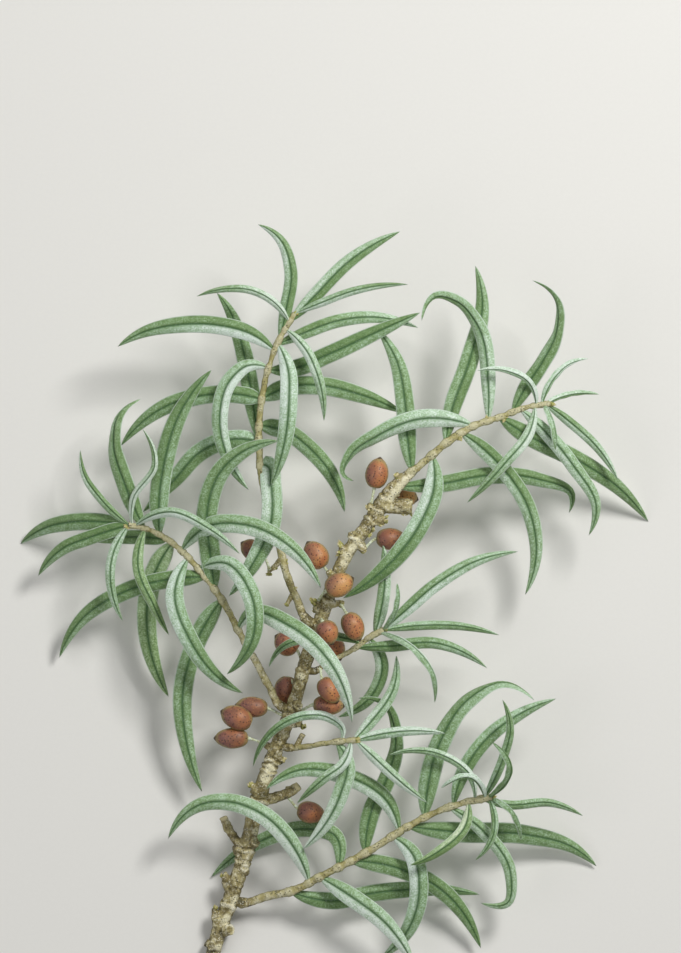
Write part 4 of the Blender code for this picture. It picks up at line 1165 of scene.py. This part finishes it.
def floor_material(settings):
    """Plain pale paper floor with a trace of grain."""
    material, tree, shader, where = new_material("pale_floor")
    grain = tree.noise(where, 900.0, 3.0, 0.6)
    deeper = tuple(part * 0.97 for part in settings.floor_colour[:3]) + (1.0,)
    colour = tree.mix(grain, settings.floor_colour, deeper)
    roughness = tree.vary(grain, 0.75, 0.85)
    finish_surface(tree, shader, colour, roughness, grain, 0.02 * MM, 0.2)
    return material


# Settings, operators and the panel


def length(name, description, default):
    return bpy.props.FloatProperty(
        name=name, description=description, default=default, min=0.0, precision=5,
        subtype="DISTANCE", unit="LENGTH",
    )


def factor(name, description, default, low=0.5, high=1.5):
    return bpy.props.FloatProperty(
        name=name, description=description, default=default, min=low, max=high, subtype="FACTOR"
    )


def colour(name, description, code):
    return bpy.props.FloatVectorProperty(
        name=name, description=description, default=srgb(code), size=4, min=0.0, max=1.0, subtype="COLOR"
    )


class SprigSizes(bpy.types.PropertyGroup):
    """Sizes of the leaves, bark and berries."""

    leaf_fullness: factor("Leaf fullness", "Width of the leaves, as a share of their solids", 1.05)
    leaf_thickness: length("Leaf thickness", "Thickness of a leaf beside its midrib", 0.34 * MM)
    leaf_arch: length("Leaf arch", "Height from a leaf's edge to its crown", 1.1 * MM)
    groove_depth: length("Midrib groove", "Depth of the groove over the midrib", 0.42 * MM)
    rib_height: length("Midrib", "How far the midrib stands out below", 0.3 * MM)
    edge_wave: length("Edge wave", "How far a leaf's edge waves up and down", 0.22 * MM)
    petiole_width: length("Leaf stalk", "Width of a leaf where it leaves the twig", 1.2 * MM)
    node_swelling: length("Leaf cushion", "Rise of the twig under each leaf", 0.28 * MM)
    stem_voxel: length("Stem detail", "Size of the cells that the old wood is made of", 0.26 * MM)
    nib_length: length("Dried tip", "Length of the dried tip on a berry", 0.45 * MM)
    stalk_radius: length("Berry stalk", "Radius of a berry's stalk", 0.4 * MM)
    spur_fullness: factor("Spur fullness", "Width of the old wood's spurs, as a share of their solids", 1.25)
    twig_slimming: factor("Twig slimming", "Share of its radius that a twig's bark loses", 0.05, 0.0, 0.5)
    bark_relief: factor("Bark relief", "How strongly the bark is shaped", 1.0, 0.0, 2.0)


class SprigColours(bpy.types.PropertyGroup):
    """Colours of the leaves, bark, berries and floor."""

    leaf_dark: colour("Dark leaf", "Shaded upper side of a leaf", "4A6B38")
    leaf_green: colour("Leaf", "Upper side of a leaf", "77955E")
    # Pale leaf: scales, and painted light on a leaf's lit half
    leaf_scaly_and_lit: colour("Pale leaf", "Leaf side that is thick with scales", "A8C6A2")
    leaf_silver: colour("Silver scales", "Silvery scales and margins", "E2EFE4")
    leaf_warm: colour("Warm leaf", "Tint of the yellowish leaves", "F2EFB0")
    midrib: colour("Midrib", "Sunken midrib", "41653A")
    # Dark bark: the colour of cracks and pits, and of the painted shade in hollows
    bark_dark: colour("Dark bark", "Cracks and hollows", "43401F")
    bark_middle: colour("Bark", "Olive bark", "847648")
    bark_ochre: colour("Ochre bark", "Bark that stands out", "BCB07C")
    bark_pale: colour("Pale bark", "Scurf and worn bark", "F4EFD6")
    # Painted shade for the sides and underside of the bark
    painted_bark_shade: colour("Bark shade", "Tint of the bark's sides and underside", "86823F")
    young_bark: colour("Young bark", "Bark near a shoot's tip", "ABA466")
    # Bare wood, its cream also a painted highlight
    bare_wood_highlight: colour("Bare wood", "Smooth wood where the bark is worn away", "F4EDC8")
    cut_wood: colour("Cut wood", "Cut and broken ends", "E4D7A8")
    bark_fleck: colour("Bark flecks", "Brown flecks on bud scales", "7A6638")
    berry_dull: colour("Dull berry", "Brown skin", "8A5B43")
    berry_orange: colour("Berry", "Orange-brown skin", "BA764A")
    berry_ochre: colour("Ochre berry", "Palest skin", "D49E5E")
    # Painted shade on a berry's darker side
    painted_shade_purple: colour("Purple blush", "The darker side of a berry", "6C4950")
    berry_olive: colour("Berry rim", "Where a berry turns down", "97905A")
    berry_dot: colour("Berry dots", "Small dark dots and the dried tip", "35231E")
    bud_green: colour("Bud scales", "Yellow-green bud scales", "A8A858")
    stalk_green: colour("Berry stalk", "Pale green stalk", "CBD2A8")
    floor_colour: colour("Floor", "Plain pale floor", "E9E7E1")


class Finishes:
    """The materials, made once from the chosen colours."""

    made = {}

    @classmethod
    def get(cls, name):
        if not cls.made:
            colours = bpy.context.scene.sprig_colours
            group = speckle_group()
            cls.made.update(
                leaf=leaf_material(colours, group), bark=bark_material(colours, group),
                bud=bud_material(colours, group), berry=berry_material(colours, group),
                stalk=stalk_material(colours, group),
                floor=floor_material(colours),
            )
        return cls.made[name]


SHOOTS = {
    "crown": (CROWN_TWIG, CROWN_LEAVES, CROWN_SPURS),
    "left": (LEFT_TWIG, LEFT_LEAVES, []),
    "right": (RIGHT_TWIG, RIGHT_LEAVES, RIGHT_SPURS),
    "side": (SIDE_TWIG, SIDE_LEAVES, []),
    "middle": (MIDDLE_TWIG, MIDDLE_LEAVES, MIDDLE_SPURS),
    "lower": (LOWER_TWIG, LOWER_LEAVES, []),
}


class SPRIG_OT_leaves(bpy.types.Operator):
    """Make the leaves of every shoot"""

    bl_idname = "sprig.leaves"
    bl_label = "Leaves"

    def execute(self, context):
        sizes = context.scene.sprig_sizes
        for name, (twig, leaves, _) in SHOOTS.items():
            seed = 100 * (1 + list(SHOOTS).index(name))
            shells = [leaf_shell(shape, twig, sizes, seed + i) for i, shape in enumerate(leaves)]
            piece = mesh_object(f"{name}_leaves", shells, [Finishes.get("leaf")])
            place(piece, "leaf", f"{name}_shoot")
        return {"FINISHED"}


class SPRIG_OT_twigs(bpy.types.Operator):
    """Make the twigs that carry the leaves"""

    bl_idname = "sprig.twigs"
    bl_label = "Twigs"

    def execute(self, context):
        sizes = context.scene.sprig_sizes
        for name, (twig, leaves, spurs) in SHOOTS.items():
            shells = twig_shells(twig, leaves, spurs, sizes)
            piece = mesh_object(f"{name}_twig", shells, [Finishes.get("bark")])
            place(piece, "bark", f"{name}_shoot")
        return {"FINISHED"}


class SPRIG_OT_old_wood(bpy.types.Operator):
    """Make the old stem with its spurs, scars and cut ends"""

    bl_idname = "sprig.old_wood"
    bl_label = "Old wood"

    def execute(self, context):
        mesh, marks = old_wood_mesh(context.scene.sprig_sizes)
        for key, value in marks.items():
            mark(mesh, key, value)
        piece = finished_object("old_wood", mesh, [Finishes.get("bark")])
        place(piece, "bark", "main_stem")
        return {"FINISHED"}


class SPRIG_OT_buds(bpy.types.Operator):
    """Make the clusters of bud scales on the wood"""

    bl_idname = "sprig.buds"
    bl_label = "Buds"

    def execute(self, context):
        woods = {
            name: [twig] + [spur_line(points, twig) for points in spurs]
            for name, (twig, _, spurs) in SHOOTS.items()
        }
        woods["main"] = [MAIN_STEM] + [spur_line(points, MAIN_STEM) for points in MAIN_SPURS + KNOBS]
        shells = bud_shells(BUD_CLUSTERS, woods)
        place(mesh_object("bud_scales", shells, [Finishes.get("bud")]), "bark")
        return {"FINISHED"}


class SPRIG_OT_berries(bpy.types.Operator):
    """Make the berries with their stalks"""

    bl_idname = "sprig.berries"
    bl_label = "Berries"

    def execute(self, context):
        sizes = context.scene.sprig_sizes
        woods = {"main_stem": MAIN_STEM, "crown_shoot": CROWN_TWIG, "side_shoot": SIDE_TWIG}
        seed = 700
        for node, berries in BERRIES.items():
            shells = []
            for shape in berries:
                seed += 3
                body, start, axis = berry_shell(shape, sizes, seed)
                shells.append(body)
                if shape["foot"] is None:
                    continue
                height = nearest(woods[shape["wood"]], shape["foot"])[2]
                shells.append(stalk_shell(start, axis, spot(*shape["foot"], height), sizes))
            piece = mesh_object(f"{node}_fruit", shells, [Finishes.get("berry"), Finishes.get("stalk")])
            place(piece, "berry", node)
        return {"FINISHED"}


class SPRIG_OT_stage(bpy.types.Operator):
    """Make the floor, the lights and the camera over the sprig"""

    bl_idname = "sprig.stage"
    bl_label = "Stage"

    def execute(self, context):
        scene = context.scene
        scene.view_settings.view_transform = "Standard"
        half = 1.5
        corners = [(-half, -half, 0), (half, -half, 0), (half, half, 0), (-half, half, 0)]
        mesh = bpy.data.meshes.new("floor")
        mesh.from_pydata(corners, [], [(0, 1, 2, 3)])
        finished_object("floor", mesh, [Finishes.get("floor")])
        for name, where, size, power in (
            ("key", (0.45, 0.55, 0.85), 0.32, 8.5),
            ("fill", (-0.7, -0.2, 0.8), 0.7, 1.6),
        ):
            light = bpy.data.lights.new(name, "AREA")
            light.shape = "DISK"
            light.size = size
            light.energy = power
            lamp = bpy.data.objects.new(name, light)
            lamp.location = where
            aim = math.atan2(where[1], where[0])
            lamp.rotation_euler = (0, math.atan2(math.hypot(*where[:2]), where[2]), aim)
            scene.collection.objects.link(lamp)
        world = bpy.data.worlds.new("studio")
        world.use_nodes = True
        background = world.node_tree.nodes["Background"]
        background.inputs["Color"].default_value = srgb("F4F6F8")
        background.inputs["Strength"].default_value = 0.32
        scene.world = world
        camera = bpy.data.cameras.new("camera")
        camera.lens = 1000.0
        camera.sensor_width = SENSOR
        camera.clip_end = 20.0
        eye = bpy.data.objects.new("camera", camera)
        across = (IMAGE[0] / 2 - MIDDLE[0]) * PIXEL
        upward = (MIDDLE[1] - IMAGE[1] / 2) * PIXEL
        eye.location = (across, upward, PLANT_HEIGHT + IMAGE[1] * PIXEL * camera.lens / SENSOR)
        scene.collection.objects.link(eye)
        scene.camera = eye
        return {"FINISHED"}


class SPRIG_PT_panel(bpy.types.Panel):
    """The sprig's pieces, sizes and colours"""

    bl_idname = "SPRIG_PT_panel"
    bl_label = "Sea buckthorn sprig"
    bl_space_type = "VIEW_3D"
    bl_region_type = "UI"
    bl_category = "Sprig"

    def draw(self, context):
        for step in STEPS:
            self.layout.operator(step.bl_idname)
        for group in (context.scene.sprig_sizes, context.scene.sprig_colours):
            for name in group.__annotations__:
                self.layout.prop(group, name)


STEPS = (SPRIG_OT_leaves, SPRIG_OT_twigs, SPRIG_OT_old_wood, SPRIG_OT_buds, SPRIG_OT_berries, SPRIG_OT_stage)
CLASSES = (SprigSizes, SprigColours, *STEPS, SPRIG_PT_panel)


def register():
    for cls in CLASSES:
        bpy.utils.register_class(cls)
    bpy.types.Scene.sprig_sizes = bpy.props.PointerProperty(type=SprigSizes)
    bpy.types.Scene.sprig_colours = bpy.props.PointerProperty(type=SprigColours)


def unregister():
    del bpy.types.Scene.sprig_sizes
    del bpy.types.Scene.sprig_colours
    for cls in reversed(CLASSES):
        bpy.utils.unregister_class(cls)


def main():
    register()
    for step in STEPS:
        module, name = step.bl_idname.split(".")
        getattr(getattr(bpy.ops, module), name)()


if __name__ == "__main__":
    main()
